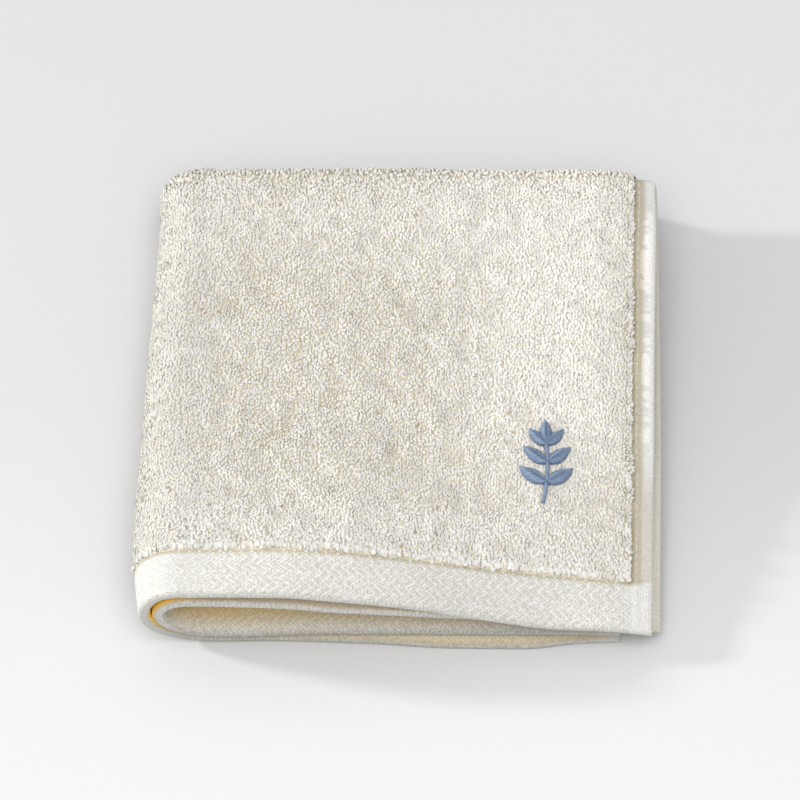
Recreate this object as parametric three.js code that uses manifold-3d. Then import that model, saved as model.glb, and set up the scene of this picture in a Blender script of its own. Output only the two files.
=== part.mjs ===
// Terry washcloth, folded in half across its length and in half again across its width.
// Four layers lie on a surface: the far edge and the left edge are folds, and the near and
// right edges are the cloth's own, with a flat woven border along the near one and narrow
// flat hems along the right one. The near left fold stands open like a drop.
// Millimetres, +Z up. The origin is on the surface, under the middle of the folded cloth.
import * as THREE from "three";
import { mergeVertices } from "three/addons/utils/BufferGeometryUtils.js";
import Module from "manifold-3d";

// Driving dimensions of the cloth
const LOFT = 5.8; // ground weave and the loops of both faces
const FLAT = 2.0; // woven border and hems, which have no loops
const BORDER_WIDTH = 17.5;
const HEM_WIDTH = 7.8;
const SHOULDER = 1.2; // width over which the pile rises from a border or hem
const LAYER_GAP = 0.4; // least clearance between neighbouring layers
const FOLD_START = 161.6; // depth at which the layers begin to turn into the far folds
const FOLD_STEPS = 6;
const FOLD_PRESS = 0.7; // pile on the inside of a fold is pressed to this share of its room
const RESTING = 0.6; // what would float lower than this lies on the surface

// Width positions of the height rows below, from the left fold to the free right edges
const ROW_X = [-60, -36, -20, 6, 28, 50, 64, 82];

// The folded cloth at four depths, from the near edge to the far fold. The outer loop is the
// top and bottom layer, and the inner loop lies within it. The rows hold the height of each
// layer's middle at ROW_X. A tip is where a loop turns: its place, and how far the turn
// reaches back into the layer above and below.
const STATIONS = [
  {
    depth: 0,
    outerTop: [30.4, 30.0, 27.5, 22.7, 15.9, 10.5, 9.5, 6.3],
    innerTop: [23.5, 21.8, 19.2, 17.2, 13.4, 8.1, 7.1, 3.9],
    innerLow: [4.2, 3.6, 3.5, 3.5, 3.5, 3.5, 3.5, 3.4],
    outerLow: [1.2, 1.2, 1.2, 1.2, 1.2, 1.2, 1.2, 1.2],
    outerTip: { x: -81.3, z: 17.2, above: 11.5, below: 25.0 },
    innerTip: { x: -75.4, z: 15.6, above: 11.0, below: 16.0 },
    outerEnds: [79.2, 69.6],
    innerEnds: [82.2, 69.6],
  },
  {
    depth: 20,
    outerTop: [28.3, 28.6, 27.2, 22.4, 17.6, 14.0, 11.6, 8.0],
    innerTop: [21.0, 21.0, 19.8, 16.4, 12.7, 10.1, 8.3, 5.2],
    innerLow: [9.4, 9.4, 9.2, 8.6, 7.6, 6.0, 4.6, 3.9],
    outerLow: [3.1, 3.1, 3.0, 2.8, 2.5, 2.0, 1.5, 1.3],
    outerTip: { x: -82.2, z: 15.5, above: 13.0, below: 17.0 },
    innerTip: { x: -75.6, z: 15.4, above: 7.5, below: 9.0 },
    outerEnds: [79.9, 70.0],
    innerEnds: [82.6, 70.0],
  },
  {
    depth: 85,
    outerTop: [21.8, 20.8, 20.1, 19.4, 18.7, 18.3, 18.9, 16.2],
    innerTop: [15.6, 14.9, 14.4, 14.0, 13.5, 13.2, 13.6, 11.5],
    innerLow: [8.9, 8.8, 8.7, 8.5, 8.3, 8.1, 7.6, 5.0],
    outerLow: [3.0, 3.0, 2.9, 2.9, 2.8, 2.8, 2.6, 2.0],
    outerTip: { x: -79.6, z: 12.3, above: 10.5, below: 10.5 },
    innerTip: { x: -73.2, z: 12.3, above: 4.6, below: 4.6 },
    outerEnds: [81.6, 71.6],
    innerEnds: [83.9, 72.0],
  },
  {
    depth: 150,
    outerTop: [24.1, 24.1, 24.1, 24.1, 24.1, 24.3, 24.3, 22.2],
    innerTop: [16.9, 16.8, 16.8, 16.8, 16.8, 17.0, 17.0, 18.4],
    innerLow: [10.1, 10.2, 10.3, 10.3, 10.3, 10.3, 10.0, 8.0],
    outerLow: [3.0, 3.0, 3.0, 3.0, 3.0, 3.0, 3.2, 4.4],
    outerTip: { x: -76.0, z: 13.5, above: 10.6, below: 10.6 },
    innerTip: { x: -68.6, z: 13.5, above: 3.8, below: 3.8 },
    outerEnds: [83.4, 73.6],
    innerEnds: [84.2, 74.0],
  },
];

// How far back each near edge lies along the way round, from the upper right end (0) over
// the left tip (0.52) to the lower right end (1)
const TIP_SHARE = 0.52;
const LAYER_LENGTH = 160; // usual way from a tip to a right end
const NEAR_EDGES = {
  outer: {
    share: [0, 0.45, 0.58, 0.66, 0.76, 0.84, 0.91, 0.96, 1],
    back: [0, 0, 1.2, 1.6, 0.6, -1.0, -1.2, 0.7, 1.3],
  },
  inner: {
    share: [0, 0.1, 0.18, 0.25, 0.6, 0.7, 1],
    back: [2.6, 2.5, 2.0, 1.0, 1.0, 2.0, 2.0],
  },
};
const EDGE_FADE = [18, 58]; // depths between which the layers' offset edges fade out

// Depths of the mesh rows, and its columns along the way round
const ROW_DEPTHS = [0, 9, BORDER_WIDTH - SHOULDER / 2, BORDER_WIDTH + SHOULDER / 2]
  .concat([23, 32, 44, 60, 80, 100, 121, 142, FOLD_START]);
const STRAIGHT_STEPS = 11;
const TURN_STEPS = 7;
const TURN_LENGTHS = { outer: 22, inner: 14 };

// Sewn leaf sprig near the right edge
const SPRIG = {
  x: 45.3,
  y: 56.3,
  length: 29.5,
  bend: 1.6, // sideways bow of the stem
  stemWidth: 1.3,
  thickness: 0.8,
  clearance: 0.4, // over the pile
};
const LEAVES = [
  { up: -7.5, lean: 58, length: 10.2, width: 4.6 },
  { up: -0.5, lean: 52, length: 9.6, width: 4.4 },
  { up: 6.0, lean: 44, length: 8.0, width: 3.8 },
];
const TOP_LEAF = { up: 7.5, length: 7.6, width: 4.0 };

const { clamp, lerp, degToRad } = THREE.MathUtils;

// Monotone cubic curve through the points (xs, ys), straight on beyond its ends
function through(xs, ys, x) {
  const last = xs.length - 1;
  const slope = (i) => (ys[i + 1] - ys[i]) / (xs[i + 1] - xs[i]);
  const tangent = (i) => {
    if (i === 0) return slope(0);
    if (i === last) return slope(last - 1);
    const before = slope(i - 1);
    const after = slope(i);
    if (before * after <= 0) return 0;
    const near = xs[i] - xs[i - 1];
    const far = xs[i + 1] - xs[i];
    const w1 = 2 * far + near;
    const w2 = far + 2 * near;
    return (w1 + w2) / (w1 / before + w2 / after);
  };
  if (x <= xs[0]) return ys[0] + tangent(0) * (x - xs[0]);
  if (x >= xs[last]) return ys[last] + tangent(last) * (x - xs[last]);
  let i = 0;
  while (x > xs[i + 1]) i += 1;
  const span = xs[i + 1] - xs[i];
  const t = (x - xs[i]) / span;
  const u = 1 - t;
  return ys[i] * (1 + 2 * t) * u * u + ys[i + 1] * t * t * (3 - 2 * t)
    + span * (tangent(i) * t * u * u - tangent(i + 1) * t * t * u);
}

const DEPTHS = STATIONS.map((station) => station.depth);
const alongDepth = (values, depth) => through(DEPTHS, values, Math.min(depth, DEPTHS.at(-1)));

// Height of one layer's middle at a place on the cloth
function heightAt(layer, x, depth) {
  return alongDepth(STATIONS.map((station) => through(ROW_X, station[layer], x)), depth);
}

// One loop of the folded cloth at one station, as a path from the tip to a right end
function halfLoop(station, loop, half) {
  const tip = station[`${loop}Tip`];
  const reach = half === "Top" ? tip.above : tip.below;
  const end = station[`${loop}Ends`][half === "Top" ? 0 : 1];
  const layer = station[loop + half];
  const points = [];
  const turnPoints = 24;
  const straightPoints = 60;
  for (let i = 0; i < turnPoints; i += 1) {
    const angle = (Math.PI / 2) * (i / turnPoints);
    const x = tip.x + reach * (1 - Math.cos(angle));
    const z = lerp(tip.z, through(ROW_X, layer, x), Math.sin(angle));
    points.push(new THREE.Vector2(x, z));
  }
  for (let i = 0; i <= straightPoints; i += 1) {
    const x = lerp(tip.x + reach, end, i / straightPoints);
    points.push(new THREE.Vector2(x, through(ROW_X, layer, x)));
  }
  return points;
}

// One loop's path from its tip, as the points of its mesh columns
function columnPoints(path, loop) {
  const lengths = [0];
  for (let i = 1; i < path.length; i += 1) {
    lengths.push(lengths[i - 1] + path[i].distanceTo(path[i - 1]));
  }
  return columnDistances(lengths.at(-1), loop).map((distance) => {
    let i = 1;
    while (i < path.length - 1 && lengths[i] < distance) i += 1;
    const share = (distance - lengths[i - 1]) / (lengths[i] - lengths[i - 1]);
    return path[i - 1].clone().lerp(path[i], share);
  });
}

// Column distances from the tip: close together in the turn, and one on each side of the
// hem's shoulder
function columnDistances(length, loop) {
  const hem = length - HEM_WIDTH;
  const turned = TURN_LENGTHS[loop];
  const turn = Array.from({ length: TURN_STEPS + 1 }, (_, i) => (turned * i) / TURN_STEPS);
  const straight = Array.from({ length: STRAIGHT_STEPS }, (_, i) =>
    lerp(turned, hem - SHOULDER / 2, (i + 1) / STRAIGHT_STEPS));
  return [...turn, ...straight, hem + SHOULDER / 2, length];
}

// The whole loop at one station, from the upper right end round the tip to the lower one
function loopColumns(station, loop) {
  const top = columnPoints(halfLoop(station, loop, "Top"), loop);
  const low = columnPoints(halfLoop(station, loop, "Low"), loop);
  return [...top.reverse(), ...low.slice(1)];
}

const LOOPS = {
  outer: STATIONS.map((station) => loopColumns(station, "outer")),
  inner: STATIONS.map((station) => loopColumns(station, "inner")),
};
const COLUMNS = LOOPS.outer[0].length;
const TIP_COLUMN = (COLUMNS - 1) / 2;
const isHem = (column) => column < 2 || column > COLUMNS - 3;

// Share of the way round at a column, with the tip at TIP_SHARE
function shareOf(loop, column) {
  const distances = columnDistances(LAYER_LENGTH, loop);
  const reached = distances[Math.abs(column - TIP_COLUMN)] / distances.at(-1);
  return column <= TIP_COLUMN
    ? TIP_SHARE * (1 - reached)
    : TIP_SHARE + (1 - TIP_SHARE) * reached;
}

// Depth of a mesh row at a column: the near edges stand a little forward or back
function depthOf(loop, column, row) {
  const depth = ROW_DEPTHS[row];
  const fade = clamp((EDGE_FADE[1] - depth) / (EDGE_FADE[1] - EDGE_FADE[0]), 0, 1);
  const edge = NEAR_EDGES[loop];
  return depth + fade * through(edge.share, edge.back, shareOf(loop, column));
}

// A point of the cloth's middle surface on one loop
function middlePoint(loop, column, depth) {
  const x = alongDepth(LOOPS[loop].map((columns) => columns[column].x), depth);
  const z = alongDepth(LOOPS[loop].map((columns) => columns[column].y), depth);
  return new THREE.Vector3(x, depth, z);
}

// The middle surface as rows of points: outer loop from its near edge to the far fold,
// the fold, and the inner loop back to its near edge
function middleSurface() {
  const rows = ROW_DEPTHS.map((_, row) =>
    Array.from({ length: COLUMNS }, (_, c) => middlePoint("outer", c, depthOf("outer", c, row))));
  for (let step = 1; step < FOLD_STEPS; step += 1) {
    const angle = (Math.PI * step) / FOLD_STEPS;
    rows.push(Array.from({ length: COLUMNS }, (_, c) => {
      const outer = middlePoint("outer", c, FOLD_START);
      const inner = middlePoint("inner", c, FOLD_START);
      const half = outer.clone().sub(inner).multiplyScalar(0.5);
      const point = inner.clone().add(half).addScaledVector(half, Math.cos(angle));
      point.y += half.length() * Math.sin(angle);
      return point;
    }));
  }
  for (let row = ROW_DEPTHS.length - 1; row >= 0; row -= 1) {
    rows.push(Array.from({ length: COLUMNS }, (_, c) =>
      middlePoint("inner", c, depthOf("inner", c, row))));
  }
  return rows;
}

// Outward direction at each point: up on the top layer, out of the folds, and towards the
// inside of the drop on the inner loop
function outwardDirections(rows) {
  return rows.map((row, r) => row.map((_, c) => {
    const before = rows[Math.max(r - 1, 0)][c];
    const after = rows[Math.min(r + 1, rows.length - 1)][c];
    const left = row[Math.min(c + 1, COLUMNS - 1)];
    const right = row[Math.max(c - 1, 0)];
    return right.clone().sub(left).cross(after.clone().sub(before)).normalize();
  }));
}

// Half thickness on each face. Pile stands to its full loft where it is free, and is pressed
// to half the room between two layers where they meet.
function halfThickness(rows) {
  const free = LOFT / 2;
  const flat = FLAT / 2;
  const lastRow = rows.length - 1;
  return rows.map((row, r) => row.map((point, c) => {
    const nearest = Math.min(r, lastRow - r);
    const onFold = nearest >= ROW_DEPTHS.length - 1;
    const onInner = r > lastRow / 2;
    if (isHem(c) || nearest < 3) return { out: flat, back: flat };
    const x = Math.max(point.x, ROW_X[0]);
    const depth = Math.min(point.y, FOLD_START);
    const above = heightAt("outerTop", x, depth) - heightAt("innerTop", x, depth);
    const within = heightAt("innerTop", x, depth) - heightAt("innerLow", x, depth);
    const under = heightAt("innerLow", x, depth) - heightAt("outerLow", x, depth);
    const between = c <= TIP_COLUMN ? above : under;
    const pressed = (room) => Math.min(free, (room - LAYER_GAP) / 2);
    return {
      out: onInner || onFold ? pressed(within) : free,
      back: pressed(onFold ? between * FOLD_PRESS : between),
    };
  }));
}

// One closed body from the two faces of the cloth and its four free edges
function clothGeometry() {
  const rows = middleSurface();
  const outward = outwardDirections(rows);
  const half = halfThickness(rows);
  const positions = [];
  const face = (side) => rows.map((row, r) => row.map((point, c) => {
    const distance = side === "out" ? half[r][c].out : -half[r][c].back;
    const place = point.clone().addScaledVector(outward[r][c], distance);
    if (place.z < RESTING) place.z = 0;
    positions.push(place.x, place.y, place.z);
    return positions.length / 3 - 1;
  }));
  const out = face("out");
  const back = face("back");
  const indices = [];
  const quad = (a, b, c, d) => indices.push(a, b, c, a, c, d);
  const lastRow = rows.length - 1;
  const lastColumn = COLUMNS - 1;
  for (let r = 0; r < lastRow; r += 1) {
    for (let c = 0; c < lastColumn; c += 1) {
      quad(out[r][c], out[r + 1][c], out[r + 1][c + 1], out[r][c + 1]);
      quad(back[r][c], back[r][c + 1], back[r + 1][c + 1], back[r + 1][c]);
    }
    quad(out[r][0], back[r][0], back[r + 1][0], out[r + 1][0]);
    quad(out[r][lastColumn], out[r + 1][lastColumn], back[r + 1][lastColumn], back[r][lastColumn]);
  }
  for (let c = 0; c < lastColumn; c += 1) {
    quad(out[0][c], out[0][c + 1], back[0][c + 1], back[0][c]);
    quad(out[lastRow][c], back[lastRow][c], back[lastRow][c + 1], out[lastRow][c + 1]);
  }
  const geometry = new THREE.BufferGeometry();
  geometry.setAttribute("position", new THREE.Float32BufferAttribute(positions, 3));
  geometry.setIndex(indices);
  return geometry;
}

// A pointed leaf that grows from its stalk end, leaning out from the stem's direction
function leafShape(x, y, lean, length, width) {
  const along = new THREE.Vector2(Math.sin(degToRad(lean)), Math.cos(degToRad(lean)));
  const across = new THREE.Vector2(along.y, -along.x);
  const place = (forward, side) => new THREE.Vector2(x, y)
    .addScaledVector(along, forward)
    .addScaledVector(across, side);
  const base = place(0, 0);
  const tip = place(length, 0);
  const right = place(length * 0.45, width);
  const left = place(length * 0.45, -width);
  const shape = new THREE.Shape();
  shape.moveTo(base.x, base.y);
  shape.quadraticCurveTo(right.x, right.y, tip.x, tip.y);
  shape.quadraticCurveTo(left.x, left.y, base.x, base.y);
  return shape;
}

const stemBow = (up) => SPRIG.bend * (1 - (2 * up / SPRIG.length) ** 2);

// The sprig's outlines round its own middle: a bowed stem, leaves in pairs and one on top
function sprigShapes() {
  const stem = new THREE.Shape();
  const low = -SPRIG.length / 2;
  const high = TOP_LEAF.up + 1;
  const steps = 10;
  const halfWidth = SPRIG.stemWidth / 2;
  for (let i = 0; i <= steps; i += 1) {
    const up = lerp(low, high, i / steps);
    const x = stemBow(up) + halfWidth;
    if (i === 0) stem.moveTo(x, up);
    else stem.lineTo(x, up);
  }
  for (let i = steps; i >= 0; i -= 1) {
    const up = lerp(low, high, i / steps);
    stem.lineTo(stemBow(up) - halfWidth, up);
  }
  const shapes = [stem];
  for (const leaf of LEAVES) {
    for (const side of [-1, 1]) {
      const x = stemBow(leaf.up);
      shapes.push(leafShape(x, leaf.up, side * leaf.lean, leaf.length, leaf.width));
    }
  }
  const topX = stemBow(TOP_LEAF.up);
  shapes.push(leafShape(topX, TOP_LEAF.up, 0, TOP_LEAF.length, TOP_LEAF.width));
  return shapes;
}

const wasm = await Module();
wasm.setup();

function solidOf(geometry) {
  const bare = geometry.clone();
  bare.deleteAttribute("normal");
  bare.deleteAttribute("uv");
  const merged = mergeVertices(bare, 1e-4);
  return new wasm.Manifold(new wasm.Mesh({
    numProp: 3,
    vertProperties: merged.attributes.position.array,
    triVerts: new Uint32Array(merged.index.array),
  }));
}

// The sprig joined into one body and laid over the curve of the top layer's pile
function sprigGeometry() {
  const pieces = sprigShapes().map((shape) => solidOf(new THREE.ExtrudeGeometry(shape, {
    depth: SPRIG.thickness,
    bevelEnabled: false,
    curveSegments: 7,
  })));
  const joined = pieces.reduce((whole, piece) => whole.add(piece)).getMesh();
  const geometry = new THREE.BufferGeometry();
  const positions = Float32Array.from(joined.vertProperties);
  geometry.setAttribute("position", new THREE.BufferAttribute(positions, 3));
  geometry.setIndex(new THREE.BufferAttribute(Uint32Array.from(joined.triVerts), 1));
  const position = geometry.attributes.position;
  for (let i = 0; i < position.count; i += 1) {
    const x = position.getX(i) + SPRIG.x;
    const y = position.getY(i) + SPRIG.y;
    const pileTop = heightAt("outerTop", x, y) + LOFT / 2;
    position.setXYZ(i, x, y, position.getZ(i) + pileTop + SPRIG.clearance);
  }
  return geometry;
}

const terry = new THREE.MeshStandardMaterial({ color: 0xe6e3da, roughness: 0.95, metalness: 0 });
const thread = new THREE.MeshStandardMaterial({ color: 0x98aac2, roughness: 0.6, metalness: 0 });

function named(name, geometry, material) {
  geometry.computeVertexNormals();
  const mesh = new THREE.Mesh(geometry, material);
  mesh.name = name;
  return mesh;
}

const cloth = named("washcloth", clothGeometry(), terry);
const sprig = named("leaf_sprig", sprigGeometry(), thread);

// Put the origin under the middle of the cloth
cloth.geometry.computeBoundingBox();
const middle = cloth.geometry.boundingBox.getCenter(new THREE.Vector3());
const washcloth = new THREE.Group();
washcloth.position.set(-middle.x, -middle.y, 0);
washcloth.add(cloth, sprig);

export default washcloth;
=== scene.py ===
"""Folded terry washcloth: looped cotton pile, herringbone borders, hems and a sewn leaf sprig.

The cloth lies folded in half twice. Its middle surface is a grid of rows and columns, worked
out in millimetres from the heights of the four layers. Everything on the cloth (ground weave,
pile loops, herringbone wales, stitches) is placed on that grid.
"""

import math
from types import SimpleNamespace

import bpy
import numpy as np
from bpy.props import FloatProperty, IntProperty, PointerProperty, StringProperty
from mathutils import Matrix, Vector


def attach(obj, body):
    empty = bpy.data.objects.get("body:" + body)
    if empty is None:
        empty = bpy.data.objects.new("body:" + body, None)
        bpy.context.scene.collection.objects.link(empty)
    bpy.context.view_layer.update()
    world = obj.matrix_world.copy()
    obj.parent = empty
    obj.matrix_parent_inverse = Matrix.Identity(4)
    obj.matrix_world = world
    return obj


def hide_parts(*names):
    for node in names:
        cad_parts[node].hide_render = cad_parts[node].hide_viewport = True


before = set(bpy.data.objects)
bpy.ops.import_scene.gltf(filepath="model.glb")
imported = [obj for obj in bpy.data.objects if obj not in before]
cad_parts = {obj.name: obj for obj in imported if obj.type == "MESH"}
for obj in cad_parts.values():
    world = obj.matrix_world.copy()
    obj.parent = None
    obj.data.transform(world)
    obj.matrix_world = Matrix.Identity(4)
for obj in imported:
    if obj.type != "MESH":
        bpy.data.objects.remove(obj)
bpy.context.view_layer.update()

bl_info = {
    "name": "Folded Washcloth",
    "version": (1, 0, 0),
    "blender": (4, 5, 0),
    "location": "View3D > Sidebar > Washcloth",
    "description": "Builds a folded terry washcloth with woven borders, hems and a leaf sprig",
    "category": "Add Mesh",
}

MM = 0.001

# The folded cloth, in millimetres from its left front: widths of the height rows, and the
# height of each layer's middle at those widths for each depth
ROW_X = [-60, -36, -20, 6, 28, 50, 64, 82]
DEPTHS = [0, 20, 85, 150]
HEIGHTS = {
    "outer_top": [
        [30.4, 30.0, 27.5, 22.7, 15.9, 10.5, 9.5, 6.3],
        [28.3, 28.6, 27.2, 22.4, 17.6, 14.0, 11.6, 8.0],
        [21.8, 20.8, 20.1, 19.4, 18.7, 18.3, 18.9, 16.2],
        [24.1, 24.1, 24.1, 24.1, 24.1, 24.3, 24.3, 22.2],
    ],
    "inner_top": [
        [23.5, 21.8, 19.2, 17.2, 13.4, 8.1, 7.1, 3.9],
        [21.0, 21.0, 19.8, 16.4, 12.7, 10.1, 8.3, 5.2],
        [15.6, 14.9, 14.4, 14.0, 13.5, 13.2, 13.6, 11.5],
        [16.9, 16.8, 16.8, 16.8, 16.8, 17.0, 17.0, 18.4],
    ],
    "inner_low": [
        [4.2, 3.6, 3.5, 3.5, 3.5, 3.5, 3.5, 3.4],
        [9.4, 9.4, 9.2, 8.6, 7.6, 6.0, 4.6, 3.9],
        [8.9, 8.8, 8.7, 8.5, 8.3, 8.1, 7.6, 5.0],
        [10.1, 10.2, 10.3, 10.3, 10.3, 10.3, 10.0, 8.0],
    ],
    "outer_low": [
        [1.2, 1.2, 1.2, 1.2, 1.2, 1.2, 1.2, 1.2],
        [3.1, 3.1, 3.0, 2.8, 2.5, 2.0, 1.5, 1.3],
        [3.0, 3.0, 2.9, 2.9, 2.8, 2.8, 2.6, 2.0],
        [3.0, 3.0, 3.0, 3.0, 3.0, 3.0, 3.2, 4.4],
    ],
}
# Where each loop turns at the left: x, z, and how far the turn reaches into its top and low
# layer. Ends are the x of the free right edges, top and low.
TIPS = {
    "outer": [(-80.5, 17.2, 11.5, 25.0), (-82.2, 15.5, 13.0, 17.0), (-79.6, 12.3, 10.5, 10.5),
              (-76.0, 13.5, 10.6, 10.6)],
    "inner": [(-75.8, 15.6, 11.0, 16.0), (-75.6, 15.4, 7.5, 9.0), (-73.2, 12.3, 4.6, 4.6),
              (-68.6, 13.5, 3.8, 3.8)],
}
ENDS = {
    "outer": [(79.2, 69.6), (79.9, 70.0), (81.6, 71.6), (83.4, 73.6)],
    "inner": [(82.2, 69.6), (82.6, 70.0), (83.9, 72.0), (84.2, 74.0)],
}
# How far back each near edge lies along the way round from the upper right end (0) to the
# lower right end (1), and the depths between which those offsets fade out
TIP_SHARE = 0.52
NEAR_EDGES = {
    "outer": ([0, 0.45, 0.58, 0.66, 0.76, 0.84, 0.91, 0.96, 1],
              [0, 0, 1.2, 1.6, 0.6, -1.0, -1.2, 0.7, 1.3]),
    "inner": ([0, 0.1, 0.18, 0.25, 0.6, 0.7, 1], [2.6, 2.5, 2.0, 1.0, 1.0, 2.0, 2.0]),
}
EDGE_FADE = (18, 58)
# Length of a layer from its tip to its free edge, and of each turn at the left
LAYER_LENGTH = 160.0
TURN_LENGTHS = {"outer": 22.0, "inner": 14.0}
# Last column of the turn, of the straight pile and of the side hem, counted from the tip
TURN_COLUMNS, STRAIGHT_COLUMNS, SIDE_COLUMNS = 7, 18, 20
# Widths of the woven border, of the side hem, and of the step from either up to the pile
BORDER, HEM, SHOULDER = 17.5, 7.8, 1.2
# Thickness of a free layer with its pile, and the least room between two layers
LOFT, LAYER_GAP = 5.8, 0.4
# How high the upper hem stands up, and how far in from its edge that starts
HEM_CURL, HEM_CURL_WIDTH = 1.9, 9.0
# Where the first row of raised wales starts, and how many rows there are
WALES_START, WALE_ROWS = 0.7, 6
# How deep the feet of the loops sink in the ground, and the least height over the floor
ROOT_DEPTH, FLOOR_GAP = 0.2, 0.03
# Depth at which the far folds start, how hard they are pressed, and their radius
FOLD_START, FOLD_PRESS, FOLD_RADIUS = 161.6, 0.7, 3.6
# How far in from the side edge the hem's stitches run, and how far from its end they start
STITCH_LINE, FIRST_STITCH = 5.6, 1.6
# Painted shade and glow: tan for cotton where light reaches it only by way of other cotton,
# and orange for the glow of light through the layers where that light is strongest, most of
# all in the narrow gap at the left
INSIDE_SHADE_TAN = "#D8B560"
GAP_GLOW_ORANGE = "#F8CC5C"
# Depth of the place on the floor that the camera and the lamps face
LOOK_DEPTH = 92.86
# From the tables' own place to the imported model's
SHIFT = np.array([0.40168, -83.97335, 0.0])

SPRIG = SimpleNamespace(x=45.3, y=56.3, length=29.5, bend=1.6, stem=1.3, over=0.4, thick=0.8)
# Leaves: way up the stem, lean in degrees, length, width
LEAVES = [(up, side * lean, length, width)
          for up, lean, length, width in ((-7.5, 58, 10.2, 4.6), (-0.5, 52, 9.6, 4.4),
                                          (6.0, 44, 8.0, 3.8))
          for side in (-1, 1)] + [(7.5, 0, 7.6, 4.0)]


# Settings

def length(name, description, millimetres):
    """A length setting, given in millimetres and shown in Blender's own unit."""
    return FloatProperty(name=name, description=description, default=millimetres * MM,
                         unit="LENGTH", subtype="DISTANCE", precision=5)


def colour(name, description, hex_value):
    """A colour setting, as an sRGB hex value."""
    return StringProperty(name=name, description=description, default=hex_value)


class ClothSettings(bpy.types.PropertyGroup):
    """The cloth without its pile"""
    flat_side: length("Flat side", "Side of the square cloth before it was folded", 330)
    ground: length("Ground", "Thickness of the ground weave under the pile", 4.4)
    border: length("Border", "Thickness of the herringbone border", 3.2)
    hem: length("Hem", "Thickness of the turned side hems", 2.6)
    settle: FloatProperty(name="Settle", description="Unevenness of the folded stack",
                          default=0.036)
    # Painted shade: the tan between the loops stands in for the shade there
    ground_colour: colour("Ground colour", "Shaded cotton between the loops", "#D0C6AC")
    border_colour: colour("Border colour", "Raised yarns of border and hems", "#D8D7D3")
    # Painted shade: the grooves between raised yarns are coloured darker than the yarns
    groove_colour: colour("Groove colour", "Cotton between the raised yarns", "#C3C0B5")
    # Painted light: the ground's paler copy between flat loops and on the left turn
    ground_lit: colour("Lit ground colour", "Paler cotton between flat loops", "#DCD7C8")
    # Painted shade in the grooves between the hem's ribs
    hem_groove: colour("Hem groove colour", "Cotton between the ribs of the hem", "#D4D1C8")
    pile_shadow: colour("Pile shadow", "Flat weave in the shade of the pile", "#A3946C")


class PileSettings(bpy.types.PropertyGroup):
    """The looped pile"""
    across: length("Spacing across", "Distance between lines of loops", 0.92)
    along: length("Spacing along", "Distance between loops in a line", 1.12)
    yarn: length("Yarn", "Thickness of a loop's yarn", 1.0)
    span: length("Span", "Length of a loop seen from above", 0.85)
    seed: IntProperty(name="Seed", description="Start of the random numbers", default=11)
    tip_colour: colour("Loop colour", "Tops of the loops", "#D9D9D6")
    # Painted shade: the tan of the loops' feet stands in for the shade in the depth
    root_colour: colour("Root colour", "Feet of the loops", "#D4CAB0")
    # Painted light: flat loops' feet are paler, making up for their shade
    brushed_root: colour("Flat root colour", "Feet of the loops that lie flat", "#E8DEC6")
    # The own colour of a few straw loops, also laid on loops in holes and creases as painted shade
    straw_and_hole_shade: colour("Straw colour", "The few darker loops", "#A5884F")


class BorderSettings(bpy.types.PropertyGroup):
    """The herringbone relief of the borders"""
    stripe: length("Stripe", "Depth of one row of slanted wales", 2.7)
    pitch: length("Pitch", "Distance between wales along a row", 3.24)
    slant: FloatProperty(name="Slant", description="Angle of the wales to the edge",
                         default=math.radians(40), subtype="ANGLE", unit="ROTATION")
    wale_width: length("Wale width", "Width of a wale", 0.95)
    wale_height: length("Wale height", "How far a wale's section stands up and down", 0.16)
    # Painted shade at the feet of the wales, the crests keeping the border colour
    wale_shade: colour("Wale shade", "Yarn at the feet of the wales", "#B6B1A0")


class StitchSettings(bpy.types.PropertyGroup):
    """The lockstitch of the hems and the sprig's satin stitch"""
    pitch: length("Stitch", "Length of one lockstitch with its gap", 2.8)
    thread: length("Thread", "Thickness of the sewing thread", 0.38)
    satin: length("Satin thread", "Spacing of the sprig's threads", 0.42)
    # Lit and shaded copies of each thread colour: painted light on the crests, painted shade on the
    # flanks and in the grooves
    white: colour("Hem thread", "Lit thread of the hems", "#E2DED4")
    white_shade: colour("Hem thread shade", "Shaded thread of the hems", "#D5CFC0")
    blue: colour("Blue", "Lit blue thread", "#8E9FB6")
    shaded_blue: colour("Deep blue", "Blue thread in the grooves", "#6F8199")


class StageSettings(bpy.types.PropertyGroup):
    """Camera, floor and light"""
    elevation: FloatProperty(name="Camera elevation", description="Camera above the horizon",
                             default=math.radians(57), subtype="ANGLE", unit="ROTATION")
    distance: length("Camera distance", "From the camera to what it looks at", 2000)
    main_light: FloatProperty(name="Main light", description="Power of the low left light",
                              default=124, unit="POWER")
    front_light: FloatProperty(name="Front light", description="Power of the high front light",
                               default=4.1, unit="POWER")
    fill: FloatProperty(name="Fill", description="Strength of the even surrounding light",
                        default=0.86)
    floor: colour("Floor", "Matt white board", "#CFCFCF")
    # Painted shade: the board's darker colour towards the back, for the falloff of the front light
    far_floor: colour("Far floor", "The board away from the front light", "#C6C6C6")


# Shape of the folded cloth, in millimetres

def ramp(x, start, end):
    """From 0 at start to 1 at end, and level beyond them."""
    return np.clip((x - start) / (end - start), 0, 1)


def ease(t):
    """A share from 0 to 1, made slow at both ends."""
    return t * t * (3 - 2 * t)


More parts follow.
